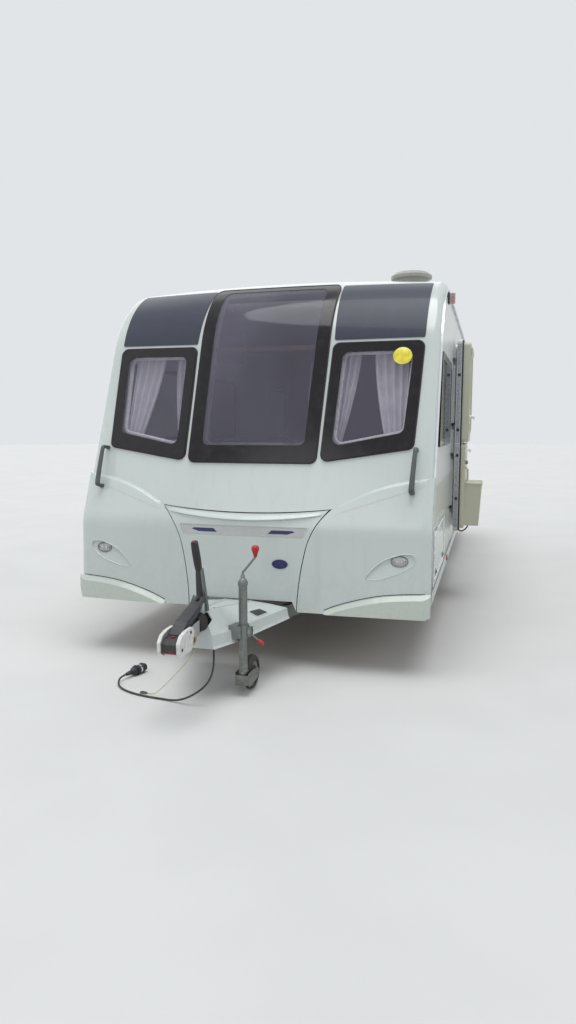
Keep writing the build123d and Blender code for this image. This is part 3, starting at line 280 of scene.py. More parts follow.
def woven(name, base, scale, contrast=0.25):
    """Plain woven cloth: two crossed sets of threads, a soft sheen and uneven dye."""
    m = Net(name, base, 0.9, Sheen_Weight=0.3, Sheen_Roughness=0.5)
    thread = m.times(m.waves(scale, 0.4, "X"), m.waves(scale, 0.4, "Z"))
    tone = m.blend(m.patches(12, 5, 0.3, 0.7), shade(base, 0.92), shade(base, 1.06))
    m.colour(m.over(tone, shade(base, 0.55), thread, contrast))
    m.bump(thread, 0.0006, 0.5)
    return m.material


def wood_grain(name, base):
    m = Net(name, base, 0.42, Coat_Weight=0.15, Coat_Roughness=0.2)
    rings = m.waves(2.0, 6.0, "Y", (0.6, 9, 9))
    pores = m.patches(60, 5, 0.5, 0.7, 0.6, (1, 14, 14))
    tone = m.blend(rings, shade(base, 0.72), shade(base, 1.15))
    m.colour(m.over(tone, shade(base, 0.45), pores, 0.35))
    m.bump(pores, 0.0002, 0.5)
    return m.material


def coupling_paint(name, black):
    """Black cover in the middle and white covers on both cheeks."""
    m = Net(name, black, 0.4)
    cheek = m.mask(m.math("ABSOLUTE", m.parts["Y"]), 0.0405, 0.0415)
    grime = m.patches(40, 7, 0.42, 0.72, 0.65)
    pale = m.over(srgb(214, 216, 214), srgb(120, 112, 98), grime, 0.4)
    dark = m.over(black, srgb(110, 104, 94), grime, 0.25)
    m.colour(m.blend(cheek, dark, pale))
    m.rough(grime, 0.35, 0.7)
    m.bump(m.noise(260, 4), 0.0002, 0.5)
    return m.material


def lens(name, base, alpha=0.95):
    """Coloured lamp lens with moulded ribs."""
    m = Net(name, base, 0.08, Coat_Weight=0.5, Coat_Roughness=0.03)
    m.colour(m.blend(m.patches(40, 4, 0.4, 0.7), base, shade(base, 0.8)))
    m.set("Alpha", alpha)
    m.bump(m.waves(90, 0.0, "Z"), 0.0006, 0.5)
    return m.material


def plain_gloss(name, base, roughness=0.25, uneven=0.12):
    """Smooth coloured plastic or vinyl with a little uneven sun bleaching."""
    m = Net(name, base, roughness, Coat_Weight=0.2)
    m.colour(m.blend(m.patches(30, 5, 0.4, 0.7), shade(base, 1 - uneven), shade(base, 1 + uneven)))
    m.bump(m.noise(200, 3), 0.0001, 0.4)
    return m.material


DOOR_CREAM = satin_plastic("door_cream", srgb(196, 197, 178), 0.5, 500, srgb(214, 213, 200), 0.05, 0.15)
LOOKS = {
    # the record's material slots
    "white_moulding": white_shell("moulded_white", srgb(197, 206, 203)),
    "bumper_moulding": white_shell("bumper_white", srgb(190, 198, 190), 0.26, 0.25),
    "body_skin": white_shell("sheet_white", srgb(206, 212, 210), 0.3, 0.3, band=True),
    "window_border": gloss_black("border_black", srgb(26, 22, 26)),
    "smoked_acrylic": smoked_acrylic("smoked_acrylic", low=0.46, high=0.54, outer=0.38),
    "dark_panel": gloss_black("charcoal_gloss", srgb(61, 65, 77), 0.34, 0.2),
    "lamp_lens": lens("clear_lens", srgb(214, 216, 214), 0.5),
    "black_plastic": satin_plastic("black_satin", srgb(44, 45, 47)),
    "rail_aluminium": bare_metal("anodised_rail", srgb(196, 200, 202), 0.32, (0.1, 1, 1)),
    "arch_plastic": satin_plastic("arch_black", srgb(38, 38, 38), 0.7, dust=0.5),
    "floor_board": wood_grain("floor_ply", srgb(150, 124, 92)),
    "vent_plastic": satin_plastic("vent_white", srgb(214, 216, 212), 0.4),
    "galvanised_steel": galvanised("galvanised", srgb(122, 129, 126)),
    "rubber_bellows": rubber("bellows_rubber", ground_dust=0.3),
    "coupling_paint": coupling_paint("coupling_covers", srgb(40, 41, 44)),
    "cover_plastic": white_shell("cover_white", srgb(190, 197, 196), 0.34, 0.3),
    "dome_plastic": satin_plastic("dome_grey", srgb(160, 160, 152), 0.35, rub=0.1),
    "cabin_wood": wood_grain("cabin_wood", srgb(150, 116, 84)),
    "seat_fabric": woven("seat_cloth", srgb(128, 118, 112), 260),
    "curtain_fabric": woven("curtain_cloth", srgb(216, 213, 221), 420, 0.06),
    "cable_rubber": rubber("cable_sheath", srgb(38, 38, 40), 0.35),
    "plug_plastic": satin_plastic("plug_black", srgb(38, 39, 43), 0.5, dust=0.4),
    "breakaway_coating": plain_gloss("wire_coating", srgb(178, 176, 118), 0.35),
    "door_liner_plastic": DOOR_CREAM,
    "tyre_rubber": rubber("tyre_rubber"),
    "wheel_alloy": bare_metal("wheel_silver", srgb(176, 178, 182), 0.3, dirt=0.35),
    "jockey_rubber": rubber("jockey_rubber", srgb(34, 35, 38), 0.25),
    # finishes of the pieces that are only made here
    "chrome": bare_metal("chrome", srgb(214, 216, 220), 0.08, dirt=0.1),
    "lamp_bowl": bare_metal("lamp_bowl", srgb(150, 156, 152), 0.35),
    "steel": bare_metal("bolt_steel", srgb(150, 150, 150), 0.35, dirt=0.4),
    "red": plain_gloss("red_plastic", srgb(170, 18, 24), 0.35),
    "red_lens": lens("red_lens", srgb(190, 22, 28)),
    "amber_lens": lens("amber_lens", srgb(224, 118, 24)),
    "clear_glass": lens("lamp_clear", srgb(226, 228, 226), 0.35),
    "navy": plain_gloss("navy_vinyl", srgb(38, 44, 92)),
    "silver": plain_gloss("silver_vinyl", srgb(186, 188, 187), 0.4, 0.03),
    "yellow": plain_gloss("yellow_vinyl", srgb(228, 214, 62)),
    "seal": rubber("seal_rubber", srgb(34, 34, 35), 0.3),
    "edge_grey": satin_plastic("edge_grey", srgb(142, 144, 150), 0.4),
    "handle_grey": satin_plastic("handle_grey", srgb(70, 77, 73)),
    "grey_plastic": satin_plastic("grey_satin", srgb(112, 116, 114), 0.5),
    "disc_tan": satin_plastic("friction_tan", srgb(176, 146, 104), 0.6),
    "blind": satin_plastic("blind_grey", srgb(206, 204, 210), 0.6),
    "tinted": smoked_acrylic("tinted_dome"),
    # painted reflection: this near-opaque dark glass is partly the tint and partly stands in for dark
    # surroundings mirrored in the panes
    "dense_glass": smoked_acrylic("dense_acrylic", srgb(56, 57, 64), 0.80, 0.88, gloss=0.25),
}


def dress_nodes():
    for part in frame["record"]["subparts"]:
        mesh = NODES[part["node"]].data
        mesh.materials.clear()
        mesh.materials.append(LOOKS[part["material_slot"]])
    # side, rear and door panes take the dark glass, whose colour is partly painted reflection
    for name in ("window_panes", "door_pane"):
        NODES[name].data.materials[0] = LOOKS["dense_glass"]


# Mesh helpers: a shape is a list of points and a list of faces

def piece(name, shape, finish, body=BODY, sharp=35):
    """An object made of a shape: cleaned, given its finish and hung on its body."""
    mesh = bpy.data.meshes.new(name)
    mesh.from_pydata([tuple(v) for v in shape[0]], [], shape[1])
    solid = bmesh.new()
    solid.from_mesh(mesh)
    bmesh.ops.remove_doubles(solid, verts=solid.verts, dist=1e-6)
    bmesh.ops.recalc_face_normals(solid, faces=solid.faces)
    solid.to_mesh(mesh)
    solid.free()
    mesh.shade_smooth()
    mesh.set_sharp_from_angle(angle=math.radians(sharp))
    mesh.materials.append(LOOKS[finish])
    obj = bpy.data.objects.new(name, mesh)
    bpy.context.scene.collection.objects.link(obj)
    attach(obj, body)
    return obj


def joined(name, shapes, finish, body=BODY):
    """One piece from several shapes."""
    verts, faces = [], []
    for more_verts, more_faces in shapes:
        faces += [[len(verts) + i for i in face] for face in more_faces]
        verts += more_verts
    return piece(name, (verts, faces), finish, body)


def ringed(rings, closed=False, ends=True):
    """The shape through rings of points, either with flat ends or with its last ring joined to its first."""
    verts = [point for ring in rings for point in ring]
    n, total = len(rings[0]), len(verts)
    faces = [[a + k, a + (k + 1) % n, (a + n + (k + 1) % n) % total, (a + n + k) % total]
             for a in range(0, total if closed else total - n, n) for k in range(n)]
    if ends and not closed:
        faces += [list(range(n)), list(range(total - n, total))]
    return verts, faces


def taken(mesh):
    """The shape of a bmesh, which is freed."""
    mesh.verts.index_update()
    shape = [v.co.copy() for v in mesh.verts], [[v.index for v in f.verts] for f in mesh.faces]
    mesh.free()
    return shape


def turns(count, start=0.0):
    """The cosine and sine of equal steps round a circle."""
    angles = [start + 2 * math.pi * k / count for k in range(count)]
    return [(math.cos(a), math.sin(a)) for a in angles]


def placed(origin, along=UP, side=None):
    """A matrix whose z axis points along a direction."""
    z = Vector(along).normalized()
    x = Vector(side) if side else (LEFTWARD if abs(z.y) < 0.9 else FORWARD)
    y = z.cross(x).normalized()
    x = y.cross(z)
    return Matrix.Translation(Vector(origin)) @ Matrix((x, y, z)).transposed().to_4x4()


def lathe(profile, place, segments=32):
    """Turns (radius, height) points about the z axis of a matrix."""
    circle = turns(segments)
    return ringed([[place @ Vector((r * c, r * s, h)) for c, s in circle] for r, h in profile])


def tube(points, radius, segments=12):
    """A round bar through points, with flat ends; its radius is a number or one for each point."""
    points = [Vector(p) for p in points]
    last, side, rings = len(points) - 1, None, []
    for i, point in enumerate(points):
        ahead = (points[min(i + 1, last)] - points[max(i - 1, 0)]).normalized()
        side = side or ahead.orthogonal().normalized()
        side = (side - ahead * side.dot(ahead)).normalized()
        other = ahead.cross(side)
        size = radius[i] if isinstance(radius, tuple) else radius
        rings.append([point + (side * c + other * s) * size for c, s in turns(segments)])
    return ringed(rings)


def curve_points(points, steps=6):
    """Smooth points through the given ones."""
    points = [Vector(p) for p in points]
    ends = [points[0] * 2 - points[1], *points, points[-1] * 2 - points[-2]]
    smooth = []
    for a, b, c, d in zip(ends, ends[1:], ends[2:], ends[3:]):
        for k in range(steps):
            t = k / steps
            smooth.append(0.5 * (2 * b + (c - a) * t + (2 * a - 5 * b + 4 * c - d) * t * t
                                 + (3 * b - a - 3 * c + d) * t ** 3))
    return smooth + [points[-1]]


def bevelled(shape, radius, segments=2, angle=30):
    """The same shape with its sharp edges rounded."""
    solid = bmesh.new()
    made = [solid.verts.new(v) for v in shape[0]]
    for face in shape[1]:
        solid.faces.new([made[i] for i in face])
    bmesh.ops.recalc_face_normals(solid, faces=solid.faces)
    edges = [e for e in solid.edges if len(e.link_faces) == 2 and e.calc_face_angle(0) > math.radians(angle)]
    bmesh.ops.bevel(solid, geom=edges, offset=radius, segments=segments, affect="EDGES", profile=0.5,
                    clamp_overlap=True)
    return taken(solid)


def block(low, high, radius=0.003, segments=2):
    """A box between two corners, in any order, whose heights are over the ground."""
    (x0, x1), (y0, y1), heights = (sorted(pair) for pair in zip(low, high))
    corners = ((x0, y0), (x1, y0), (x1, y1), (x0, y1))
    return bevelled(ringed([[at(x, y, z) for x, y in corners] for z in heights]), radius, segments)


def plate(outline, place, thickness, radius=0.001):
    """An outline in a matrix's x and y, made solid along its z."""
    rings = [[place @ Vector((x, y, h)) for x, y in outline] for h in (0, thickness)]
    return bevelled(ringed(rings), radius, 2, 50)


def oval(width, height, count=32, power=2.0):
    """A superellipse about the origin; a power of 2 is a plain ellipse."""
    return [(width / 2 * math.copysign(abs(c) ** (2 / power), c),
             height / 2 * math.copysign(abs(s) ** (2 / power), s)) for c, s in turns(count)]


def rounded_rectangle(width, height, radius, steps=5):
    points = []
    for cx, cy, start in ((1, 1, 0), (-1, 1, 90), (-1, -1, 180), (1, -1, 270)):
        for k in range(steps + 1):
            a = math.radians(start + 90 * k / steps)
            points.append((cx * (width / 2 - radius) + radius * math.cos(a),
                           cy * (height / 2 - radius) + radius * math.sin(a)))
    return points


def rounded_loop(x0, x1, low, high, radius, y):
    """Points round a rounded rectangle in a side plane, and on past the first one."""
    corners = rounded_rectangle(x1 - x0, high - low, radius, 6)
    points = [at((x0 + x1) / 2 + a, y, (low + high) / 2 + b) for a, b in corners]
    return points + points[:2]


def rounded_corner(before, corner, after, reach, steps=6):
    """Points of a smooth bend near a corner."""
    start = corner + (before - corner).normalized() * reach
    end = corner + (after - corner).normalized() * reach
    shares = [k / steps for k in range(steps + 1)]
    return [start.lerp(corner, t).lerp(corner.lerp(end, t), t) for t in shares]


def screw_head(place, radius, height):
    """A hexagonal bolt head on a washer: two shapes."""
    washer = lathe([(radius * 1.6, 0), (radius * 1.6, height * 0.25)], place, 20)
    head = lathe([(radius, height * 0.25), (radius, height * 0.9), (radius * 0.85, height)], place, 6)
    return [washer, head]


class Skin:
    """The outer surface of CAD nodes, to lay things on."""

    def __init__(self, *names):
        verts, faces = [], []
        for name in names:
            mesh = NODES[name].data
            start = len(verts)
            verts += [v.co.copy() for v in mesh.vertices]
            faces += [[start + i for i in p.vertices] for p in mesh.polygons]
        self.tree = BVHTree.FromPolygons(verts, faces)

    def hit(self, start, direction):
        """The point that a ray meets first, and the normal there."""
        point, normal = self.tree.ray_cast(Vector(start), Vector(direction))[:2]
        if point is None:
            raise ValueError(f"nothing is met from {tuple(start)}")
        return point, normal

    def front(self, y, z):
        return self.hit((0.5, y, z), -FORWARD)

    def on(self, y, height, lift=0.0):
        """The point met from the front at a height over the ground, moved forward by a lift."""
        return self.front(y, above(height))[0] + FORWARD * lift


def film(name, outline, project, finish, body=BODY, lift=0.0008, cell=0.02, thickness=0.0):
    """A sheet with a flat outline, laid on the surface that project(a, b) finds, and made solid if thick."""
    sheet = bmesh.new()
    sheet.faces.new([sheet.verts.new((a, b, 0)) for a, b in outline])
    for axis in (0, 1):
        values = [p[axis] for p in outline]
        step = math.ceil(min(values) / cell) * cell
        while step < max(values):
            spot, across = Vector((0, 0, 0)), Vector((0, 0, 0))
            spot[axis], across[axis] = step, 1
            bmesh.ops.bisect_plane(sheet, geom=sheet.verts[:] + sheet.edges[:] + sheet.faces[:],
                                   plane_co=spot, plane_no=across)
            step += cell
    upper = set()
    if thickness:
        made = bmesh.ops.extrude_face_region(sheet, geom=sheet.faces[:])["geom"]
        upper = {v for v in made if isinstance(v, bmesh.types.BMVert)}
    for v in sheet.verts:
        point, normal = project(v.co.x, v.co.y)
        v.co = point + normal * (lift + thickness if v in upper else lift)
    return piece(name, taken(sheet), finish, body)


# Cords: the routes' points are those of the CAD tubes, in millimetres over the ground

TOWING_CABLE = ((-350, 58, 291), (-350, 58, 246), (-334, 63, 208), (-292, 72, 168), (-252, 62, 128),
                (-236, 26, 90), (-236, -26, 54), (-244, -84, 24), (-256, -144, 8), (-266, -206, 6),
                (-272, -268, 6), (-281, -330, 6), (-296, -392, 6), (-318, -448, 6), (-348, -500, 6),
                (-382, -538, 8), (-422, -562, 16), (-466, -572, 26), (-512, -560, 27))
BREAKAWAY_CABLE = ((-345, -45, 305), (-345, -45, 278), (-341, -64, 244), (-336, -94, 206), (-331, -130, 160),
                   (-327, -172, 114), (-323, -212, 72), (-320, -250, 34), (-320, -288, 4), (-326, -332, 4))
POINT_RADIUS = 0.01              # Blender adds a point's radius to a curve's box, so it is kept small


def cord(name, route, diameter, node, finish):
    points = [(x / 1000, y / 1000, above(z / 1000)) for x, y, z in route]
    curve = bpy.data.curves.new(name, "CURVE")
    curve.dimensions = "3D"
    curve.bevel_depth = diameter / 2 / POINT_RADIUS
    curve.bevel_resolution = 5
    curve.use_fill_caps = True
    spline = curve.splines.new("NURBS")
    spline.points.add(len(points) - 1)
    for target, point in zip(spline.points, points):
        target.co = (*point, 1.0)
        target.radius = POINT_RADIUS
    spline.order_u = 3
    spline.use_endpoint_u = True
    spline.resolution_u = 12
    obj = bpy.data.objects.new(name, curve)
    bpy.context.scene.collection.objects.link(obj)
    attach(obj, BODY)
    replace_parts(obj, node)
    curve.materials.append(LOOKS[finish])


def cords():
    cord("towing_lead", TOWING_CABLE, 0.011, "towing_cable", "cable_rubber")
    cord("breakaway_wire", BREAKAWAY_CABLE, 0.004, "breakaway_cable",
         "breakaway_coating")


# Front

def front_marks():
    """Blank shapes in the places of the photo's marks."""
    lid = Skin("gas_locker_lid").front
    body = "gas_locker_lid"
    strip = [(-0.410, above(0.862)), (0.410, above(0.862)), (0.386, above(0.807)), (-0.386, above(0.807))]
    film("lid_strip", strip, lid, "silver", body)
    corners = ((0.165, 0.824), (0.190, 0.846), (0.322, 0.846), (0.336, 0.838), (0.300, 0.828), (0.290, 0.824))
    for name, s in SIDES:
        film("lid_dash_" + name, [(s * y, above(z)) for y, z in corners], lid, "navy", body, 0.0016)
    for part, width, height, finish, lift, thickness in (("_rim", 0.108, 0.066, "silver", 0.0010, 0.0012),
                                                         ("", 0.100, 0.058, "navy", 0.0024, 0.0008)):
        badge = [(0.246 + y, above(0.641) + z) for y, z in oval(width, height)]
        film("lid_badge" + part, badge, lid, finish, body, lift, thickness=thickness)
    glass = Skin("front_window_panes", "front_window_frames").front
    spot, normal = glass(0.916, above(1.915))
    disc = oval(0.118, 0.118, 48)
    proud = max((glass(spot.y + y, spot.z + z)[0] - spot).dot(normal) for y, z in disc)
    place = placed(spot + normal * (proud + 0.0004), normal)
    piece("window_disc", plate(disc, place, 0.0008, 0.0003), "yellow")


BUMPER_SEAM = ((0.524, 0.368), (0.583, 0.394), (0.656, 0.420), (0.768, 0.452), (0.875, 0.474), (0.998, 0.487),
               (1.120, 0.4935))


def front_seams():
    """The dark joint over each bumper corner."""
    skin = Skin("front_panel", "front_bumpers")
    for name, s in SIDES:
        line = curve_points([(0, s * y, z) for y, z in BUMPER_SEAM], 5)
        joint = [skin.on(p.y, p.z + 0.006, -0.0005) for p in line]
        piece("bumper_joint_" + name, tube(joint, 0.0026, 8), "seal")


def crease(y):
    """Height of the smile-shaped upper edge of the lower moulding."""
    y = abs(y)
    return 0.945 + y * y / 9.348 if y < 0.546 else 0.977 + (y - 0.546) * 0.3289


BROW = ((0.0, -0.10), (0.03, 0.03), (0.20, 0.25), (0.45, 0.62), (0.68, 0.93), (0.78, 1.0), (0.88, 0.86),
        (0.96, 0.45), (1.0, -0.10))


def lid_brow():
    """A rounded ledge along the lid's crease: its upper slope catches the light, its underside is shaded."""
    skin = Skin("front_panel", "gas_locker_lid")
    count, reach = 56, 0.500
    rings = []
    for i in range(count + 1):
        t = i / count
        y = reach * (2 * t - 1)
        fade = min(1.0, 12 * t, 12 * (1 - t)) ** 0.5
        height, out = 0.038 - 0.070 * y * y, (0.024 - 0.022 * abs(y)) * fade
        rings.append([skin.on(y, crease(y) - 0.009 - d * height, out * rise + 0.0004) for d, rise in BROW])
    piece("lid_brow", ringed(rings), "white_moulding", "gas_locker_lid", 70)


SHOULDER_START, SHOULDER_END, SHOULDER_RADIUS = 0.574, 1.118, 0.016


def bow(y):
    """How far the moulding's upper edge bows up above the CAD step, between the lid and the corner."""
    along = (abs(y) - 0.546) / 0.584
    return 0.040 * math.sin(math.pi * along) if 0 < along < 1 else 0.0


def shoulders():
    """The moulding's upper edge on each side of the lid: it bows up and has a rounded shoulder."""
    skin = Skin("front_panel")
    columns, under, sunk = 44, 0.034, FORWARD * 0.003
    rounding = [SHOULDER_RADIUS * k for k in (0.0, 0.06, 0.16, 0.32, 0.52, 0.75, 1.0)]
    for name, s in SIDES:
        rings = []
        for i in range(columns + 1):
            t = i / columns
            y = SHOULDER_START + (SHOULDER_END - SHOULDER_START) * t
            upper, lower = (skin.on(s * y, crease(y) - d) for d in (0.030, 0.070))
            slope = (upper.x - lower.x) / (upper.z - lower.z)
            fade = min(1.0, 14 * t, 14 * (1 - t)) ** 0.5
            rest = [SHOULDER_RADIUS + (bow(y) + under - SHOULDER_RADIUS) * k / 5 for k in range(1, 6)]
            ring = []
            for d in rounding + rest:
                ground = skin.on(s * y, crease(y) + bow(y) - d, 0.0004)
                proud = max(0.0, upper.x + (ground.z - upper.z) * slope - ground.x + 0.0014)
                rise = math.sin(min(1.0, d / SHOULDER_RADIUS) * math.pi / 2)
                ring.append(ground + FORWARD * proud * rise * fade)
            rings.append([ring[0] - sunk, *ring, ring[-1] - sunk])
        piece("moulding_shoulder_" + name, ringed(rings), "white_moulding", sharp=70)


def grab_bars():
    """Flat moulded grab bars, wider at the foot, with both ends let into the front skin."""
    skin = Skin("front_panel")
    bars = []
    for _, s in SIDES:
        foot, head = at(-1.040, s * 1.025, 1.098), at(-1.148, s * 1.035, 1.348)
        low_end, high_end = skin.on(foot.y, 1.084, -0.004), skin.on(head.y, 1.334, -0.004)
        path = [low_end, *rounded_corner(low_end, foot, head, 0.022)]
        path += [foot.lerp(head, t / 8) + FORWARD * 0.004 * math.sin(math.pi * t / 8) for t in range(1, 8)]
        path += [*rounded_corner(foot, head, high_end, 0.018), high_end]
        last, rings = len(path) - 1, []
        for i, point in enumerate(path):
            ahead = (path[min(i + 1, last)] - path[max(i - 1, 0)]).normalized()
            side = (LEFTWARD - ahead * LEFTWARD.dot(ahead)).normalized()
            rise = min(1.0, max(0.0, (point.z - foot.z) / (head.z - foot.z)))
            section = oval(0.034 - 0.009 * rise, 0.028 if i in (0, last) else 0.018, 24, 3.0)
            rings.append([point + side * a + ahead.cross(side) * b for a, b in section])
        bars.append(ringed(rings))
    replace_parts(joined("grab_bars", bars, "handle_grey"), "grab_handles")


RECESS = ((0.776, 0.580), (0.804, 0.624), (0.862, 0.678), (0.925, 0.708), (0.990, 0.729), (1.042, 0.726),
          (1.058, 0.704), (1.042, 0.668), (0.985, 0.630), (0.900, 0.596), (0.834, 0.576))


def recess_lips():
    """The rounded lip round each lamp's drop-shaped recess."""
    skin = Skin("front_panel")
    loop = curve_points(RECESS[-2:] + RECESS + RECESS[:3], 6)[12:-12]
    centre = Vector((0.93, 0.655))
    outer = [p + (p - centre).normalized() * 0.004 for p in loop]
    for name, s in SIDES:
        lip = [skin.on(s * p.x, p.y, -0.0008) for p in outer]
        piece("recess_lip_" + name, tube(lip, 0.0042, 10), "white_moulding")


# Lamps

def lamp_lens(skin, y, height, width, tall, rise):
    """A domed oval over what its rim spans on the skin."""
    rim = [skin.on(y + a, height + b) for a, b in oval(width, tall, 36)]
    middle = sum(rim, Vector()) / len(rim)
    shares = [k / 6 for k in range(7)]
    rings = [[middle.lerp(point, t) + FORWARD * rise * (1 - t ** 2.5) for point in rim] for t in shares]
    return ringed(rings, ends=False)


LAMP_INSIDE = (("screw", 0.036, 0.002, 16, "seal", ((0.005, 0.001), (0.0045, 0.004), (0.003, 0.0045))),
               ("bulb", 0.015, 0.003, 20, "chrome",
                ((0.001, 0.009), (0.006, 0.007), (0.008, 0.003), (0.009, 0.001))))


def lamps():
    front = Skin("front_panel")
    height, wall, marker = 0.687, HALF_WIDTH + 0.012, HALF_WIDTH + 0.026
    for name, s in SIDES:
        y = s * 0.968
        floor = front.on(s * 0.912, height).x
        piece("front_lamp_lens_" + name, lamp_lens(front, y, height, 0.096, 0.058, 0.014), "clear_glass")
        piece("front_lamp_bowl_" + name, lamp_lens(front, y, height, 0.090, 0.054, 0.003), "lamp_bowl")
        ring = [front.on(y + a, height + b, 0.002) for a, b in oval(0.100, 0.062, 40)]
        piece("front_lamp_rim_" + name, tube(ring + ring[:1], 0.003, 8), "grey_plastic")
        for kind, reach, lift, segments, finish, profile in LAMP_INSIDE:
            for way in (-1, 1):
                place = placed(at(floor + lift, y + way * reach, height), FORWARD)
                end = "in" if s * way < 0 else "out"
                piece("front_lamp_%s_%s_%s" % (kind, name, end), lathe(profile, place, segments), finish)
        foot = block((-1.965, s * wall, 2.300), (-1.905, s * marker, 2.375), 0.004)
        piece("roof_marker_foot_" + name, foot, "black_plastic")
        for part, x0, x1, finish in (("red", -1.965, -1.921, "red_lens"),
                                     ("clear", -1.921, -1.905, "clear_glass")):
            glass = block((x0, s * marker, 2.304), (x1, s * (marker + 0.036), 2.371), 0.006, 3)
            piece("roof_marker_%s_%s" % (part, name), glass, finish)
    rear_lamps()
    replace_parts(bpy.data.objects["front_lamp_lens_left"], "lamps")


def rear_slab(skin, y, width, low, high, proud, radius):
    """A block on the rear skin that follows its curve."""
    rings = []
    for i in range(7):
        z = above(low + (high - low) * i / 6)
        right, left = (skin.hit((-8.0, y + k * width / 2, z), FORWARD)[0] for k in (-1, 1))
        let_in, out = FORWARD * 0.004, FORWARD * proud
        rings.append([right + let_in, right - out, left - out, left + let_in])
    return bevelled(ringed(rings), radius, 3, 45)


def rear_lamps():
    """Upright clusters with three lenses, a brake lamp and a bezel, and a high brake lamp."""
    rear = Skin("rear_panel")
    sections = (("tail", 0.675, 0.825, "red_lens"), ("turn", 0.830, 0.975, "amber_lens"),
                ("reverse", 0.980, 1.065, "clear_glass"), ("brake", 1.070, 1.140, "red_lens"))
    for name, s in SIDES:
        for part, low, high, finish in sections:
            slab = rear_slab(rear, s, 0.118, low, high, 0.024, 0.008)
            piece("rear_lamp_%s_%s" % (part, name), slab, finish)
        bezel = rear_slab(rear, s, 0.144, 0.658, 1.154, 0.012, 0.012)
        piece("rear_lamp_bezel_" + name, bezel, "grey_plastic")
    piece("rear_high_lamp", rear_slab(rear, 0.0, 0.36, 2.250, 2.285, 0.016, 0.006), "red_lens")


# Inside: curtains and cushions

def drape(part, name, s, top, bottom):
    """A tied-back curtain along the raked window, from its rail down to its tie."""
    cloth, folds, rows = 0.40, 4, 40
    (x_high, high), (x_low, low) = (-1.535, 1.975), (-1.300, 1.350)
    columns = folds * 12
    phase = random.Random(part + name)
    shifts = [phase.uniform(-0.4, 0.4) for _ in range(folds + 1)]
    verts = []
    for j in range(rows + 1):
        v = j / rows
        y0, y1 = (s * (a + (b - a) * v ** 1.6) for a, b in zip(top, bottom))
        width = abs(y1 - y0)
        slope = math.sqrt(2 * max((cloth / width) ** 2 - 1, 0.0))
        depth = 0.95 * slope * width / (2 * math.pi * folds)
        for i in range(columns + 1):
            u = i / columns
            wobble = shifts[int(u * folds)] * math.sin(math.pi * v) * 0.6
            x = x_high + (x_low - x_high) * v + depth * math.sin(2 * math.pi * folds * u + wobble)
            verts.append(at(x, y0 + (y1 - y0) * u, high + (low - high) * v))
    n = columns + 1
    faces = [[a, a + 1, a + n + 1, a + n] for j in range(rows) for a in range(j * n, j * n + columns)]
    obj = piece("curtain_%s_%s" % (part, name), (verts, faces), "curtain_fabric", sharp=80)


def curtains():
    for name, s in SIDES:
        drape("inner", name, s, (0.490, 0.645), (0.485, 0.550))
        drape("outer", name, s, (0.730, 0.950), (0.840, 0.950))
    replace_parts(bpy.data.objects["curtain_inner_left"], "curtains")


def cushion(name, low, high):
    """A crowned pad with rounded edges, fuller in the middle."""
    crown, radius = 0.010, 0.03
    centre, half = (low + high) / 2, (high - low) / 2
    thin = min(range(3), key=lambda i: half[i])
    pad = bmesh.new()
    bmesh.ops.create_cube(pad, size=2.0)
    bmesh.ops.subdivide_edges(pad, edges=pad.edges[:], cuts=11, use_grid_fill=True)
    for v in pad.verts:
        unit = v.co.copy()
        a, b = (unit[i] for i in range(3) if i != thin)
        for i in range(3):
            near = max(abs(unit[j]) for j in range(3) if j != i)
            inset = radius * (max(near - 0.86, 0) / 0.14) ** 2
            less = inset * 0.4 + crown if i == thin else min(inset, half[thin] * 0.5)
            v.co[i] = centre[i] + unit[i] * (half[i] - less)
        v.co[thin] += math.copysign(crown, unit[thin]) * (1 - a * a) * (1 - b * b)
    obj = piece(name, taken(pad), "seat_fabric", sharp=180)
    smooth = obj.modifiers.new("smooth", "SUBSURF")
    smooth.levels = smooth.render_levels = 1


def cushions():
    for name, s in SIDES:
        for k in range(2):
            x = -3.190 + 0.834 * k
            for part, inner, low, high in (("seat", 0.488, 0.816, 0.924), ("back", 0.988, 0.930, 1.258)):
                right, left = sorted((s * inner, s * 1.102))
                pad = "cushion_%s_%s_%s" % (part, name, k + 1)
                cushion(pad, at(x, right, low), at(x + 0.826, left, high))
    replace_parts(bpy.data.objects["cushion_seat_left_1"], "seat_cushions")


# Wheels

WHEEL_X, WHEEL_Y, WHEEL_RADIUS = -4.650, 0.950, 0.325
TYRE_SIDE = ((0.180, -0.0705), (0.1885, -0.0765), (0.196, -0.0835), (0.2025, -0.0872), (0.2035, -0.0862),
             (0.212, -0.0885), (0.238, -0.0920), (0.258, -0.0925), (0.262, -0.0917), (0.282, -0.0905),
             (0.297, -0.0850), (0.307, -0.0790), (0.3145, -0.0710), (0.3200, -0.0630))
TYRE_GROOVES = (-0.052, -0.018, 0.018, 0.052)


def tread_tyre(name, s, hub):
    """The road tyre with grooves and lateral cuts in its tread and its shoulders."""
    across = [-0.0600 + 0.1200 * i / 48 for i in range(49)]
    crown = [(WHEEL_RADIUS - 0.9 * y * y - abs(y) ** 3 * 4, y) for y in across]
    profile = [*TYRE_SIDE, *crown, *((r, -y) for r, y in reversed(TYRE_SIDE))]
    rings = []
    for k, (c, d) in enumerate(turns(288)):
        ring = []
        for r, y in profile:
            cut_here = (k + (3 if y > 0 else 0)) % 6 == 0
            if abs(y) <= 0.0601 and min(abs(y - groove) for groove in TYRE_GROOVES) < 0.0042:
                r -= 0.0075
            elif abs(y) <= 0.0601:
                r -= 0.0050 if cut_here and abs(y) > 0.020 else 0.0
            elif r > 0.300 and cut_here:
                r -= 0.0030
            ring.append(hub + Vector((r * c, s * y, r * d)))
        rings.append(ring)
    tyre = piece("road_tyre_" + name, ringed(rings, closed=True), "tyre_rubber", "wheel_" + name, 28)
    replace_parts(tyre, "tyre_" + name)


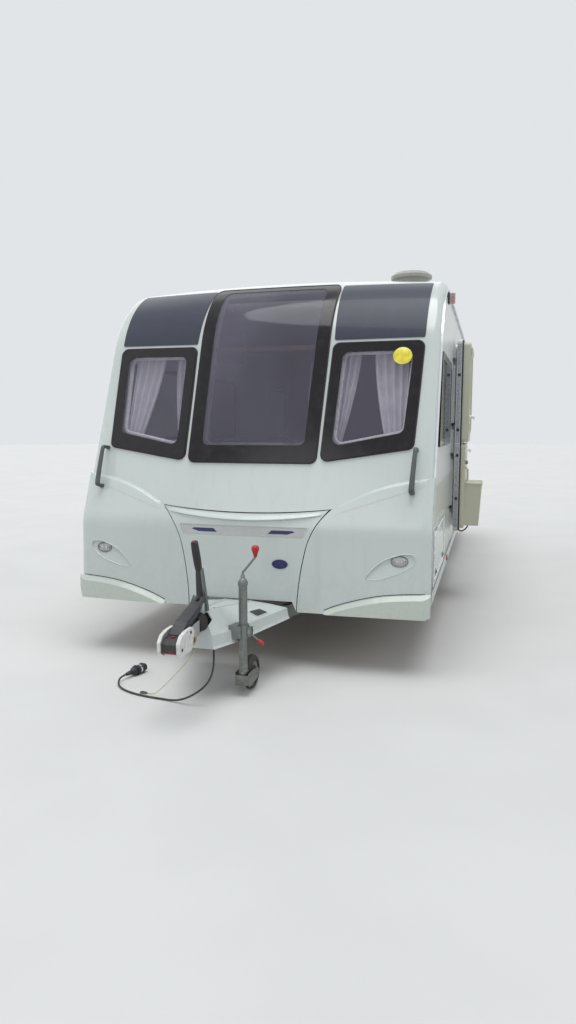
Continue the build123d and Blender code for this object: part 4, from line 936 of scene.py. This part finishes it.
def wheels():
    for name, s in SIDES:
        body, side = "wheel_" + name, LEFTWARD * s
        hub = at(WHEEL_X, s * WHEEL_Y, WHEEL_RADIUS)
        face = hub + side * 0.050
        tread_tyre(name, s, hub)
        cap = lathe([(0.030, -0.004), (0.030, 0.006), (0.026, 0.010), (0.0, 0.012)], placed(face, side))
        piece("hub_cap_" + name, cap, "grey_plastic", body)
        bolt = [(0.011, -0.004), (0.011, 0.004), (0.009, 0.010), (0.006, 0.011)]
        bolts = [lathe(bolt, placed(face + Vector((c, 0, d)) * 0.049, side), 6) for c, d in turns(5, 0.3)]
        joined("wheel_bolts_" + name, bolts, "steel", body)
        valve = [(0.0045, 0), (0.0045, 0.022), (0.006, 0.023), (0.006, 0.034), (0.004, 0.036)]
        stem = placed(hub + Vector((0.150, s * 0.052, 0.020)), side)
        piece("valve_" + name, lathe(valve, stem, 12), "seal", body)


# Drawbar

def coupling_details():
    """Friction discs with their bolts, the screws of the cheeks and the red wear marks."""
    disc = [(0.030, 0), (0.030, 0.003), (0.026, 0.005), (0.016, 0.005), (0.014, 0.002)]
    screw = [(0.008, 0), (0.007, 0.003), (0.004, 0.0035)]
    for name, s in SIDES:
        side = LEFTWARD * s
        place = placed(at(-0.096, s * 0.052, 0.408), side)
        piece("friction_ring_" + name, lathe(disc, place, 40), "disc_tan")
        joined("friction_bolt_" + name, screw_head(place, 0.009, 0.011), "steel")
        cheek = [lathe(screw, placed(at(x, s * 0.060, z), side), 20)
                 for x, z in ((0.066, 0.402), (-0.042, 0.462))]
        joined("cheek_screws_" + name, cheek, "seal")
    piece("wear_mark_front", block((0.0840, -0.034, 0.383), (0.0856, 0.034, 0.388), 0.0005), "red")
    piece("wear_mark_top", block((0.030, -0.010, 0.4545), (0.042, 0.010, 0.4585), 0.001), "red")


def lever_plate(rows, front, depth):
    """A tapering plate along the raised lever, from (height, lowest y, highest y) rows."""
    rings = []
    for z, inner, outer in rows:
        x = front - (0.690 - z) * 0.098
        rings.append([at(x, inner, z), at(x, outer, z), at(x - depth, outer, z), at(x - depth, inner, z)])
    return bevelled(ringed(rings), 0.002, 2, 40)


def handbrake_grip():
    """Ribbed rubber grip with its red release button, and the lever's plate, sleeve and lug."""
    low, high = at(-0.3375, -0.018, 0.720), at(-0.284, -0.018, 0.874)
    place = placed(low, high - low, LEFTWARD)
    count, rings = 46, []
    for i in range(count):
        t = i / (count - 1)
        swell = 1.0 + 0.10 * math.sin(math.pi * t) + (0.06 if i % 4 < 2 and 4 < i < 42 else 0.0)
        section = oval(0.034 * swell, 0.040 * swell, 24, 2.6)
        rings.append([place @ Vector((x, y, (high - low).length * t)) for x, y in section])
    piece("handbrake_grip", ringed(rings), "seal")
    button = [(0.006, -0.004), (0.006, 0.003), (0.004, 0.006), (0.001, 0.007)]
    piece("handbrake_button", lathe(button, placed(high + FORWARD * 0.006, high - low), 24), "red")
    rows = ((0.486, 0.006, 0.024), (0.600, 0.000, 0.014), (0.700, -0.006, 0.005), (0.722, -0.006, 0.002))
    piece("handbrake_side_plate", lever_plate(rows, -0.331, 0.030), "galvanised_steel")
    rows = ((0.500, -0.036, 0.006), (0.600, -0.035, 0.000), (0.700, -0.033, -0.006), (0.722, -0.031, -0.006))
    piece("handbrake_sleeve", lever_plate(rows, -0.329, 0.036), "black_plastic")
    piece("handbrake_lug", block((-0.352, -0.012, 0.470), (-0.318, 0.010, 0.535), 0.005, 3), "cover_plastic")


JOCKEY_X, JOCKEY_Y = -0.452, 0.191
JOCKEY_WHEEL_X, JOCKEY_WHEEL_HEIGHT = -0.580, 0.095
CRANK_KNOB = ((0.008, -0.020), (0.010, -0.014), (0.013, 0.0), (0.0185, 0.012), (0.0215, 0.024),
              (0.0205, 0.034), (0.0150, 0.041), (0.006, 0.044))
CLAMP_GRIP = ((0.006, -0.026), (0.0105, -0.022), (0.0125, -0.008), (0.0130, 0.006), (0.010, 0.013),
              (0.004, 0.015))
JOCKEY_CAP = ((0.0235, 0), (0.0225, 0.006), (0.014, 0.016), (0.012, 0.018), (0.012, 0.030), (0.008, 0.036))
CHEEK = ((-0.424, 0.134), (-0.424, 0.068), (-0.434, 0.056), (-0.476, 0.052), (-0.588, 0.066), (-0.606, 0.084),
         (-0.604, 0.106), (-0.584, 0.122), (-0.480, 0.136))


def jockey_details():
    """Red crank knob and clamp grip, the tube's collars and cap, the fork's cheeks and the wheel's rims."""
    piece("crank_knob", lathe(CRANK_KNOB, placed(at(-0.444, 0.266, 0.800))), "red")
    start, end = at(JOCKEY_X, 0.239, 0.350), at(JOCKEY_X, 0.296, 0.305)
    piece("clamp_grip", lathe(CLAMP_GRIP, placed(end, end - start), 28), "red")
    collars = [lathe([(0.0242, 0), (0.0275, 0.002), (0.0275, high - low - 0.002), (0.0242, high - low)],
                     placed(at(JOCKEY_X, JOCKEY_Y, low)), 36)
               for low, high in ((0.618, 0.643), (0.128, 0.146))]
    joined("jockey_collars", collars, "galvanised_steel")
    piece("jockey_cap", lathe(JOCKEY_CAP, placed(at(JOCKEY_X, JOCKEY_Y, 0.642))), "galvanised_steel")
    bolts = []
    for x, y, z, along, radius, height in ((-0.466, 0.232, 0.365, -FORWARD, 0.008, 0.010),
                                           (-0.438, 0.232, 0.365, FORWARD, 0.008, 0.010),
                                           (-0.412, 0.125, 0.382, FORWARD, 0.007, 0.008),
                                           (-0.412, 0.125, 0.348, FORWARD, 0.007, 0.008)):
        bolts += screw_head(placed(at(x, y, z), along), radius, height)
    joined("clamp_bolts", bolts, "steel")
    nuts, cheeks = [], []
    for _, s in SIDES:
        place = placed(at(JOCKEY_WHEEL_X, JOCKEY_Y + s * 0.040, JOCKEY_WHEEL_HEIGHT), LEFTWARD * s)
        nuts += screw_head(place, 0.009, 0.009)
        place = Matrix(((1, 0, 0, 0), (0, 0, s, JOCKEY_Y + s * 0.0372), (0, 1, 0, 0), (0, 0, 0, 1)))
        cheeks.append(plate([(x, above(z)) for x, z in CHEEK], place, 0.003))
    cheeks.append(block((-0.4265, 0.1535, 0.066), (-0.4225, 0.2285, 0.122), 0.001))
    joined("jockey_axle_nuts", nuts, "steel", "jockey_fork")
    joined("jockey_cheeks", cheeks, "galvanised_steel", "jockey_fork")
    dish = [(0.0615, 0.0), (0.0615, 0.004), (0.054, 0.006), (0.040, 0.003), (0.038, 0.0)]
    for name, s in SIDES:
        place = placed(at(JOCKEY_WHEEL_X, JOCKEY_Y + s * 0.0135, JOCKEY_WHEEL_HEIGHT), LEFTWARD * s)
        piece("jockey_rim_" + name, lathe(dish, place, 40), "grey_plastic", "jockey_wheel")


COVER_TOP = 0.412
COVER_ROWS = {-0.404: ((0.1432, 0.3033), (0.1344, 0.3171), (0.1296, 0.3753), (0.0920, 0.4250)),
              -0.430: ((0.156, 0.304), (0.147, 0.318), (0.142, 0.376), (0.100, 0.425)),
              -0.502: ((0.1802, 0.3066), (0.1710, 0.3206), (0.1656, 0.3773), (0.1144, 0.4218))}


def cover_flank():
    """Closes the cover's flank round the jockey clamp, as thick as the cover's own skin."""
    rings = []
    for x in sorted(COVER_ROWS):
        rows = COVER_ROWS[x]
        (y2, z2), (y3, z3) = rows[2:]
        line = [*rows[:3], (y2 + (y3 - y2) * (COVER_TOP - z2) / (z3 - z2), COVER_TOP)]
        outside = [at(x, y + 0.0006, z + 0.0003) for y, z in line]
        inside = [at(x, y - 0.0040, z - 0.0012) for y, z in line]
        rings.append(outside + inside[::-1])
    verts, faces = ringed(rings, ends=False)
    for a in (0, len(verts) - 8):
        faces += [[a + k, a + 7 - k, a + 6 - k, a + k + 1] for k in range(3)]
    piece("cover_flank", (verts, faces), "cover_plastic", sharp=50)


def cover_details():
    """Raised ribs, the lower lip and the black access flap on the drawbar cover."""
    skin = Skin("drawbar_cover")

    def top(x, y):
        return skin.hit((x, y, 0.5), -UP)

    flaps = (("", "black_plastic", 0.0008, 0.004, (0.100, 0.050, 0.010)),
             ("_rim", "cover_plastic", 0.0002, 0.0025, (0.120, 0.068, 0.014)))
    for part, finish, lift, thickness, size in flaps:
        outline = [(-0.720 + x, 0.190 + y - x * 0.30) for x, y in rounded_rectangle(*size)]
        film("cover_flap" + part, outline, top, finish, lift=lift, cell=0.03, thickness=thickness)
    places = [x / 1000 for x in range(-900, -310, 26)]
    for name, s in SIDES:
        line = [top(x, s * (0.030 + (-x - 0.440) * 0.11))[0] + UP * 0.0005 for x in places if x < -0.430]
        piece("cover_rib_" + name, tube(line, 0.006, 10), "cover_plastic")
    lip = [skin.hit(at(x, -0.6, 0.322 + (-x - 0.290) / 0.640 * 0.02), LEFTWARD)[0] for x in places]
    piece("cover_lip_right", tube(lip, 0.0035, 8), "cover_plastic")


def towing_plug():
    """Boot, bright collar and flange of the plug, round the CAD route's last run."""
    before, end = (at(x / 1000, y / 1000, z / 1000) for x, y, z in TOWING_CABLE[-2:])
    along = end - before
    place = placed(end, along)
    rings = [lathe([(0.0085, h), (0.0098 + 0.11 * h, h + 0.0015), (0.0098 + 0.11 * h, h + 0.0045),
                    (0.0085, h + 0.006)], place, 28) for h in (0.004, 0.013, 0.022, 0.031)]
    joined("plug_boot_rings", rings, "cable_rubber")
    collar = [(0.0262, 0.106), (0.0280, 0.108), (0.0280, 0.116), (0.0262, 0.118)]
    piece("plug_collar", lathe(collar, place, 40), "chrome")
    flange = [(0.0262, 0.132), (0.0285, 0.1335), (0.0285, 0.139), (0.0245, 0.1395)]
    piece("plug_flange", lathe(flange, place, 40), "black_plastic")
    middle, nubs = place @ Vector((0, 0, 0.084)), []
    for c, s in turns(10):
        spot = place @ Vector((0.0250 * c, 0.0250 * s, 0.084))
        out = (spot - middle).normalized()
        nub = placed(spot - out * 0.001, out, along)
        nubs.append(plate(rounded_rectangle(0.007, 0.036, 0.003), nub, 0.0022))
    joined("plug_grips", nubs, "plug_plastic")


# Door, hatches and vents

DOOR_EDGE_X, PULL_FOOT_Y = -2.985, 1.2590


def door_details():
    """Seal, lock bolts, handles, retainer and trim of the open stable door."""
    cream = "door_liner_plastic"

    def fit(name, shapes, finish):
        joined("door_" + name, shapes, finish, "door")

    seal = rounded_loop(-3.524, -2.996, 0.614, 2.176, 0.036, 1.218)
    fit("seal", [tube(seal, 0.0085)], "seal")
    fit("split_line", [block((-3.520, 1.2145, 1.336), (-2.9865, 1.2165, 1.344), 0.0005)], "seal")
    bolt = [(0.013, -0.001), (0.013, 0.003), (0.010, 0.005), (0.004, 0.0055)]
    bolts = [lathe(bolt, placed(at(DOOR_EDGE_X, 1.196, z), FORWARD), 24)
             for z in (1.900, 1.450, 1.240, 0.880)]
    fit("lock_bolts", bolts, "seal")
    edge = [block((-2.9856, 1.1775, low), (-2.9838, 1.2105, high), 0.0008)
            for low, high in ((0.640, 1.336), (1.344, 2.150))]
    fit("edge", edge, "edge_grey")
    trim = [block((-2.9860, 1.176, low), (-2.9825, 1.180, high), 0.001)
            for low, high in ((0.640, 1.330), (1.350, 2.150))]
    fit("edge_trim", trim, "rail_aluminium")
    for name, z, y in (("upper", 1.560, 1.282), ("lower", 1.285, 1.260)):
        place = placed(at(-3.052, y - 0.001, z), LEFTWARD)
        base = plate(rounded_rectangle(0.050, 0.120, 0.018), place, 0.008, 0.002)
        lever = tube([at(-3.052, y + 0.004, z), at(-3.052, y + 0.030, z), at(-3.070, y + 0.036, z - 0.006),
                      at(-3.150, y + 0.034, z - 0.016)], (0.011, 0.011, 0.012, 0.008), 14)
        fit("handle_" + name, [base, lever], "vent_plastic")
    knob = [(0.016, 0), (0.018, 0.010), (0.014, 0.022), (0.006, 0.025)]
    fit("knob", [lathe(knob, placed(at(-3.040, 1.260, 1.180), LEFTWARD), 28)], "grey_plastic")
    pull = [at(-3.060, PULL_FOOT_Y, 1.010), at(-3.060, 1.284, 1.030), at(-3.060, 1.284, 1.120),
            at(-3.060, PULL_FOOT_Y, 1.140)]
    fit("pull", [tube(pull, 0.008, 14)], cream)
    fit("blind", [block((-3.470, 1.278, 2.075), (-3.060, 1.298, 2.125), 0.008, 3)], cream)
    fit("window_trim", [tube(rounded_loop(-3.452, -3.083, 1.428, 2.072, 0.045, 1.283), 0.008)], cream)
    rim = [at(-3.240 + a, 1.3305 + b, 1.000) for a, b in rounded_rectangle(0.324, 0.140, 0.02, 6)]
    piece("bin_rim", tube(rim + rim[:2], 0.006), cream, "door")
    strap = curve_points([at(-3.040, 1.220, 0.612), at(-3.045, 1.238, 0.598), at(-3.070, 1.268, 0.606),
                          at(-3.110, 1.292, 0.632), at(-3.130, 1.296, 0.650)])
    fit("retainer", [tube(strap, 0.006)], "seal")
    piece("bin_shelf", block((-3.300, 1.2595, 1.020), (-3.120, 1.2700, 1.026), 0.002), cream, "door")


HATCHES = (("side_locker_hatch", 1, (-2.196, -1.274, 0.533, 0.826), (-2.060, -1.410), 0.562),
           ("service_hatch", -1, (-6.606, -6.254, 0.533, 0.836), (-6.550, -6.310), 0.560))
VENTS = (("upper", -3.140, -2.740, 1.130, 1.320, 0.014), ("lower", -3.140, -2.740, 0.640, 0.830, 0.014),
         ("heater", -6.180, -6.020, 0.620, 0.780, 0.012))


def hatch_details():
    """Beads and locks on the hatches, and louvres over the vents."""
    for body, s, sides, _, _ in HATCHES:
        piece(body + "_rim", tube(rounded_loop(*sides, 0.030, s * 1.1505), 0.0055, 10), "vent_plastic", body)
    barrel = [(0.020, -0.001), (0.020, 0.003), (0.016, 0.005), (0.013, 0.003), (0.013, 0.006), (0.002, 0.007)]
    for body, s, _, places, z in HATCHES:
        parts = []
        for x in places:
            parts.append(lathe(barrel, placed(at(x, s * 1.150, z), LEFTWARD * s), 28))
            parts.append(block((x - 0.002, s * 1.155, z - 0.010), (x + 0.002, s * 1.160, z + 0.010), 0.001))
        joined(body + "_locks", parts, "grey_plastic", body)
    for name, x0, x1, low, high, proud in VENTS:
        face = -HALF_WIDTH - proud
        dark = block((x0 + 0.016, face - 0.0006, low + 0.016),
                     (x1 - 0.016, face + 0.002, high - 0.016), 0.0002)
        piece("vent_shadow_" + name, dark, "seal")
        x0, x1, slats = x0 + 0.012, x1 - 0.012, []
        for k in range(7):
            z = low + 0.024 + (high - low - 0.048) * k / 6
            verts, faces = block((x0, face - 0.010, z - 0.0035), (x1, face, z + 0.0035), 0.001)
            slats.append(([v - UP * 0.6 * (face - v.y) for v in verts], faces))
        slats += [block((x - 0.005, face - 0.010, low + 0.012), (x + 0.005, face, high - 0.012), 0.001)
                  for x in (x0, (x0 + x1) / 2, x1)]
        joined("vent_louvres_" + name, slats, "vent_plastic")
    outlet = [(0.036, -0.002), (0.036, 0.004), (0.030, 0.008), (0.012, 0.009), (0.010, 0.006)]
    cap = placed(at(-5.700, -HALF_WIDTH - 0.030, 0.760), -LEFTWARD)
    piece("outlet_cap", lathe(outlet, cap, 36), "grey_plastic")


def side_markers():
    """Amber side lamps on the skirts and red reflectors at the rear."""
    parts = (("", 0.045, 1.1515, 1.1635, 0.430, 0.462, 0.005, 3, "amber_lens"),
             ("foot_", 0.052, 1.1510, 1.1545, 0.424, 0.468, 0.002, 2, "black_plastic"))
    for name, s in SIDES:
        for k, x in enumerate((-2.600, -5.600)):
            for part, half, y0, y1, low, high, radius, segments, finish in parts:
                shape = block((x - half, s * y0, low), (x + half, s * y1, high), radius, segments)
                piece("side_marker_%s%s_%s" % (part, name, k + 1), shape, finish)
    rear = Skin("rear_bumper")
    for name, s in SIDES:
        middle = s * 0.830
        corners = [(middle - 0.075, above(0.440)), (middle + 0.075, above(0.440)), (middle, above(0.570))]
        film("rear_reflector_" + name, corners, lambda y, z: rear.hit((-8.0, y, z), FORWARD), "red_lens",
             thickness=0.006, cell=0.05)


# Roof

def dome(name, x, y, width, depth, material):
    """A moulded cover with a domed top and an upright edge."""
    low, rise, rows = 2.5745, 0.028, 9
    rings = []
    for i in range(rows + 1):
        turn = i / rows * math.pi / 2
        scale = math.cos(turn) ** 0.55 if i < rows else 0.0
        rings.append([at(x + a, y + b, low + rise * math.sin(turn))
                      for a, b in oval(width * scale, depth * scale, 56, 8.0)])
    piece(name, ringed(rings), material)


def roof_details():
    for name, x, y, lx, ly in (("large", -3.650, 0.0, 0.720, 0.560), ("small", -6.250, -0.250, 0.420, 0.420)):
        dome("rooflight_dome_" + name, x, y, lx - 0.050, ly - 0.050, "tinted")
        rim = [at(x + a, y + b, 2.576) for a, b in rounded_rectangle(lx - 0.030, ly - 0.030, 0.045)]
        piece("rooflight_rim_" + name, tube(rim + rim[:2], 0.008, 10), "dome_plastic")
        catches = [block((x + a - 0.02, y + b - 0.012, 2.575), (x + a + 0.02, y + b + 0.012, 2.587), 0.004)
                   for a in (-lx / 2 + 0.03, lx / 2 - 0.03) for b in (-ly * 0.25, ly * 0.25)]
        joined("rooflight_catches_" + name, catches, "grey_plastic")
    foot = lathe([(0.135, 0), (0.135, 0.008), (0.122, 0.012)], placed(at(-2.350, 0.860, 2.500)), 48)
    piece("aerial_foot", foot, "dome_plastic")


# Front glass details

def outline_loop(corners, radius, gap):
    """Points along a polygon with rounded corners, no further apart than a gap."""
    points, steps = [], 5
    for i, here in enumerate(corners):
        before, here, after = Vector(corners[i - 1]), Vector(here), Vector(corners[(i + 1) % len(corners)])
        a, b = (before - here).normalized(), (after - here).normalized()
        half = a.angle(b) / 2
        reach = radius / math.tan(half)
        centre = here + (a + b).normalized() * radius / math.sin(half)
        start, end = here + a * reach - centre, here + b * reach - centre
        points += [centre + start.lerp(end, k / steps).normalized() * radius for k in range(steps + 1)]
    result = []
    for a, b in zip(points, points[1:] + points[:1]):
        count = max(1, math.ceil((b - a).length / gap))
        result += [a.lerp(b, k / count) for k in range(count)]
    return result


CENTRE_GLASS = ((-0.423, 1.253), (0.423, 1.253), (0.447, 2.440), (-0.447, 2.440))
SIDE_GLASS = ((0.455, 1.262), (1.012, 1.347), (1.045, 2.010), (0.475, 2.005))
CENTRE_CLEAR = ((-0.343, 1.358), (0.343, 1.358), (0.367, 2.412), (-0.367, 2.412))
SIDE_CLEAR = ((0.517, 1.354), (0.950, 1.439), (0.983, 1.952), (0.537, 1.947))


def window_details():
    """Seals round the front windows, the blind frames behind them and the stays of the middle one."""
    skin = Skin("front_window_frames", "front_window_panes", "front_panel")
    windows = (("middle", 1, CENTRE_GLASS, CENTRE_CLEAR), ("left", 1, SIDE_GLASS, SIDE_CLEAR),
               ("right", -1, SIDE_GLASS, SIDE_CLEAR))
    for name, s, outer, clear in windows:
        outer, clear = ([Vector((s * y, z)) for y, z in corners] for corners in (outer, clear))
        middle = sum(outer, Vector((0, 0))) / 4
        inside = [p + (middle - p).normalized() * 0.004 for p in outline_loop(outer, 0.040, 0.03)]
        seal = [skin.on(p.x, p.y, -0.012) for p in inside]
        middle = sum(seal, Vector()) / len(seal)
        seal = [p + (p - middle).normalized() * 0.007 for p in seal]
        piece("window_seal_" + name, tube(seal + seal[:1], 0.006, 8), "seal")
        blind = [skin.on(p.x, p.y, -0.062) for p in outline_loop(clear, 0.050, 0.04)]
        piece("blind_frame_" + name, tube(blind + blind[:1], 0.016, 10), "blind")
    roll = [skin.on(y, 2.300, -0.085) for y in (-0.34, -0.17, 0.0, 0.17, 0.34)]
    piece("middle_blind_roll", tube(roll, 0.030, 20), "blind")
    for name, s in SIDES:
        top, low = skin.on(s * 0.335, 1.880, -0.030), skin.on(s * 0.335, 1.640, -0.048)
        stay = tube([top, top.lerp(low, 0.5), low], (0.005, 0.005, 0.008), 10)
        piece("window_stay_" + name, stay, "chrome")
        catch, half = skin.on(s * 0.24, 1.385, -0.035) + UP * BALL_HEIGHT, Vector((0.012, 0.030, 0.010))
        piece("window_catch_" + name, block(catch - half, catch + half, 0.004), "seal")


# Stage

SUNS = (("sky", (0.6, 0.3, 6), 1.9, 45), ("key", (6, -1.5, 3), 0.28, 30), ("fill", (3, -8, 5), 0.35, 60),
        ("side", (-1, 8, 4), 0.34, 60), ("back", (-6, -4, 4), 0.4, 60))


def stage():
    """A pale floor, a pale backdrop that only the camera, gloss and glass see, and soft lamps."""
    ground = bpy.data.meshes.new("floor")
    radius = 60.0
    ring = [at(radius * c - 3, radius * s, -0.001) for c, s in turns(64)]
    ground.from_pydata(ring, [], [list(range(64))])
    m = Net("pale_floor", srgb(206, 207, 206), 0.75)
    m.colour(m.blend(m.patches(1.5, 5, 0.35, 0.65), srgb(204, 205, 204), srgb(207, 208, 207)))
    m.bump(m.noise(90, 4), 0.0006, 0.3)
    ground.materials.append(m.material)
    floor = bpy.data.objects.new("floor", ground)
    bpy.context.scene.collection.objects.link(floor)

    world = bpy.data.worlds.new("studio")
    bpy.context.scene.world = world
    world.use_nodes = True
    tree = world.node_tree
    soft = tree.nodes["Background"]
    shown, path, glossy, seen, mix = (tree.nodes.new("ShaderNode" + kind) for kind in
                                      ("Background", "LightPath", "Math", "Math", "MixShader"))
    glossy.operation = seen.operation = "MAXIMUM"
    for node, colour, strength in ((soft, (0.93, 0.96, 1.0), 0.43), (shown, srgb(226, 229, 232), 1.0)):
        node.inputs["Color"].default_value = (*colour, 1.0)
        node.inputs["Strength"].default_value = strength
    for source, target in ((path.outputs["Is Glossy Ray"], glossy.inputs[0]),
                           (path.outputs["Is Transmission Ray"], glossy.inputs[1]),
                           (path.outputs["Is Camera Ray"], seen.inputs[0]),
                           (glossy.outputs[0], seen.inputs[1]),
                           (seen.outputs[0], mix.inputs[0]), (soft.outputs[0], mix.inputs[1]),
                           (shown.outputs[0], mix.inputs[2]),
                           (mix.outputs[0], tree.nodes["World Output"].inputs["Surface"])):
        tree.links.new(source, target)

    for name, source, energy, angle in SUNS:
        sun = bpy.data.lights.new(name, "SUN")
        sun.energy = energy
        sun.angle = math.radians(angle)
        lamp = bpy.data.objects.new(name, sun)
        lamp.rotation_mode = "QUATERNION"
        lamp.rotation_quaternion = (-Vector(source)).to_track_quat("-Z", "Y")
        bpy.context.scene.collection.objects.link(lamp)


def camera():
    """The photo's view, solved from the drawbar, the front's outline and the side's perspective."""
    focal_pixels, picture_height = 720.5, 1024
    yaw, pitch = math.radians(15.68), math.radians(6.71)
    data = bpy.data.cameras.new("camera")
    data.sensor_width = 36.0
    data.lens = data.sensor_width * focal_pixels / picture_height
    data.clip_start, data.clip_end = 0.05, 200
    eye = bpy.data.objects.new("camera", data)
    eye.location = at(3.179, 1.465, 1.472)
    look = Vector((-math.cos(pitch) * math.cos(yaw), -math.cos(pitch) * math.sin(yaw), -math.sin(pitch)))
    eye.rotation_mode = "QUATERNION"
    eye.rotation_quaternion = look.to_track_quat("-Z", "Y")
    bpy.context.scene.collection.objects.link(eye)
    bpy.context.scene.camera = eye


camera()
dress_nodes()
cords()
front_marks()
front_seams()
lid_brow()
shoulders()
grab_bars()
recess_lips()
lamps()
window_details()
curtains()
cushions()
coupling_details()
handbrake_grip()
jockey_details()
cover_flank()
cover_details()
towing_plug()
door_details()
hatch_details()
side_markers()
roof_details()
wheels()
stage()
bpy.context.scene.view_settings.view_transform = "Standard"
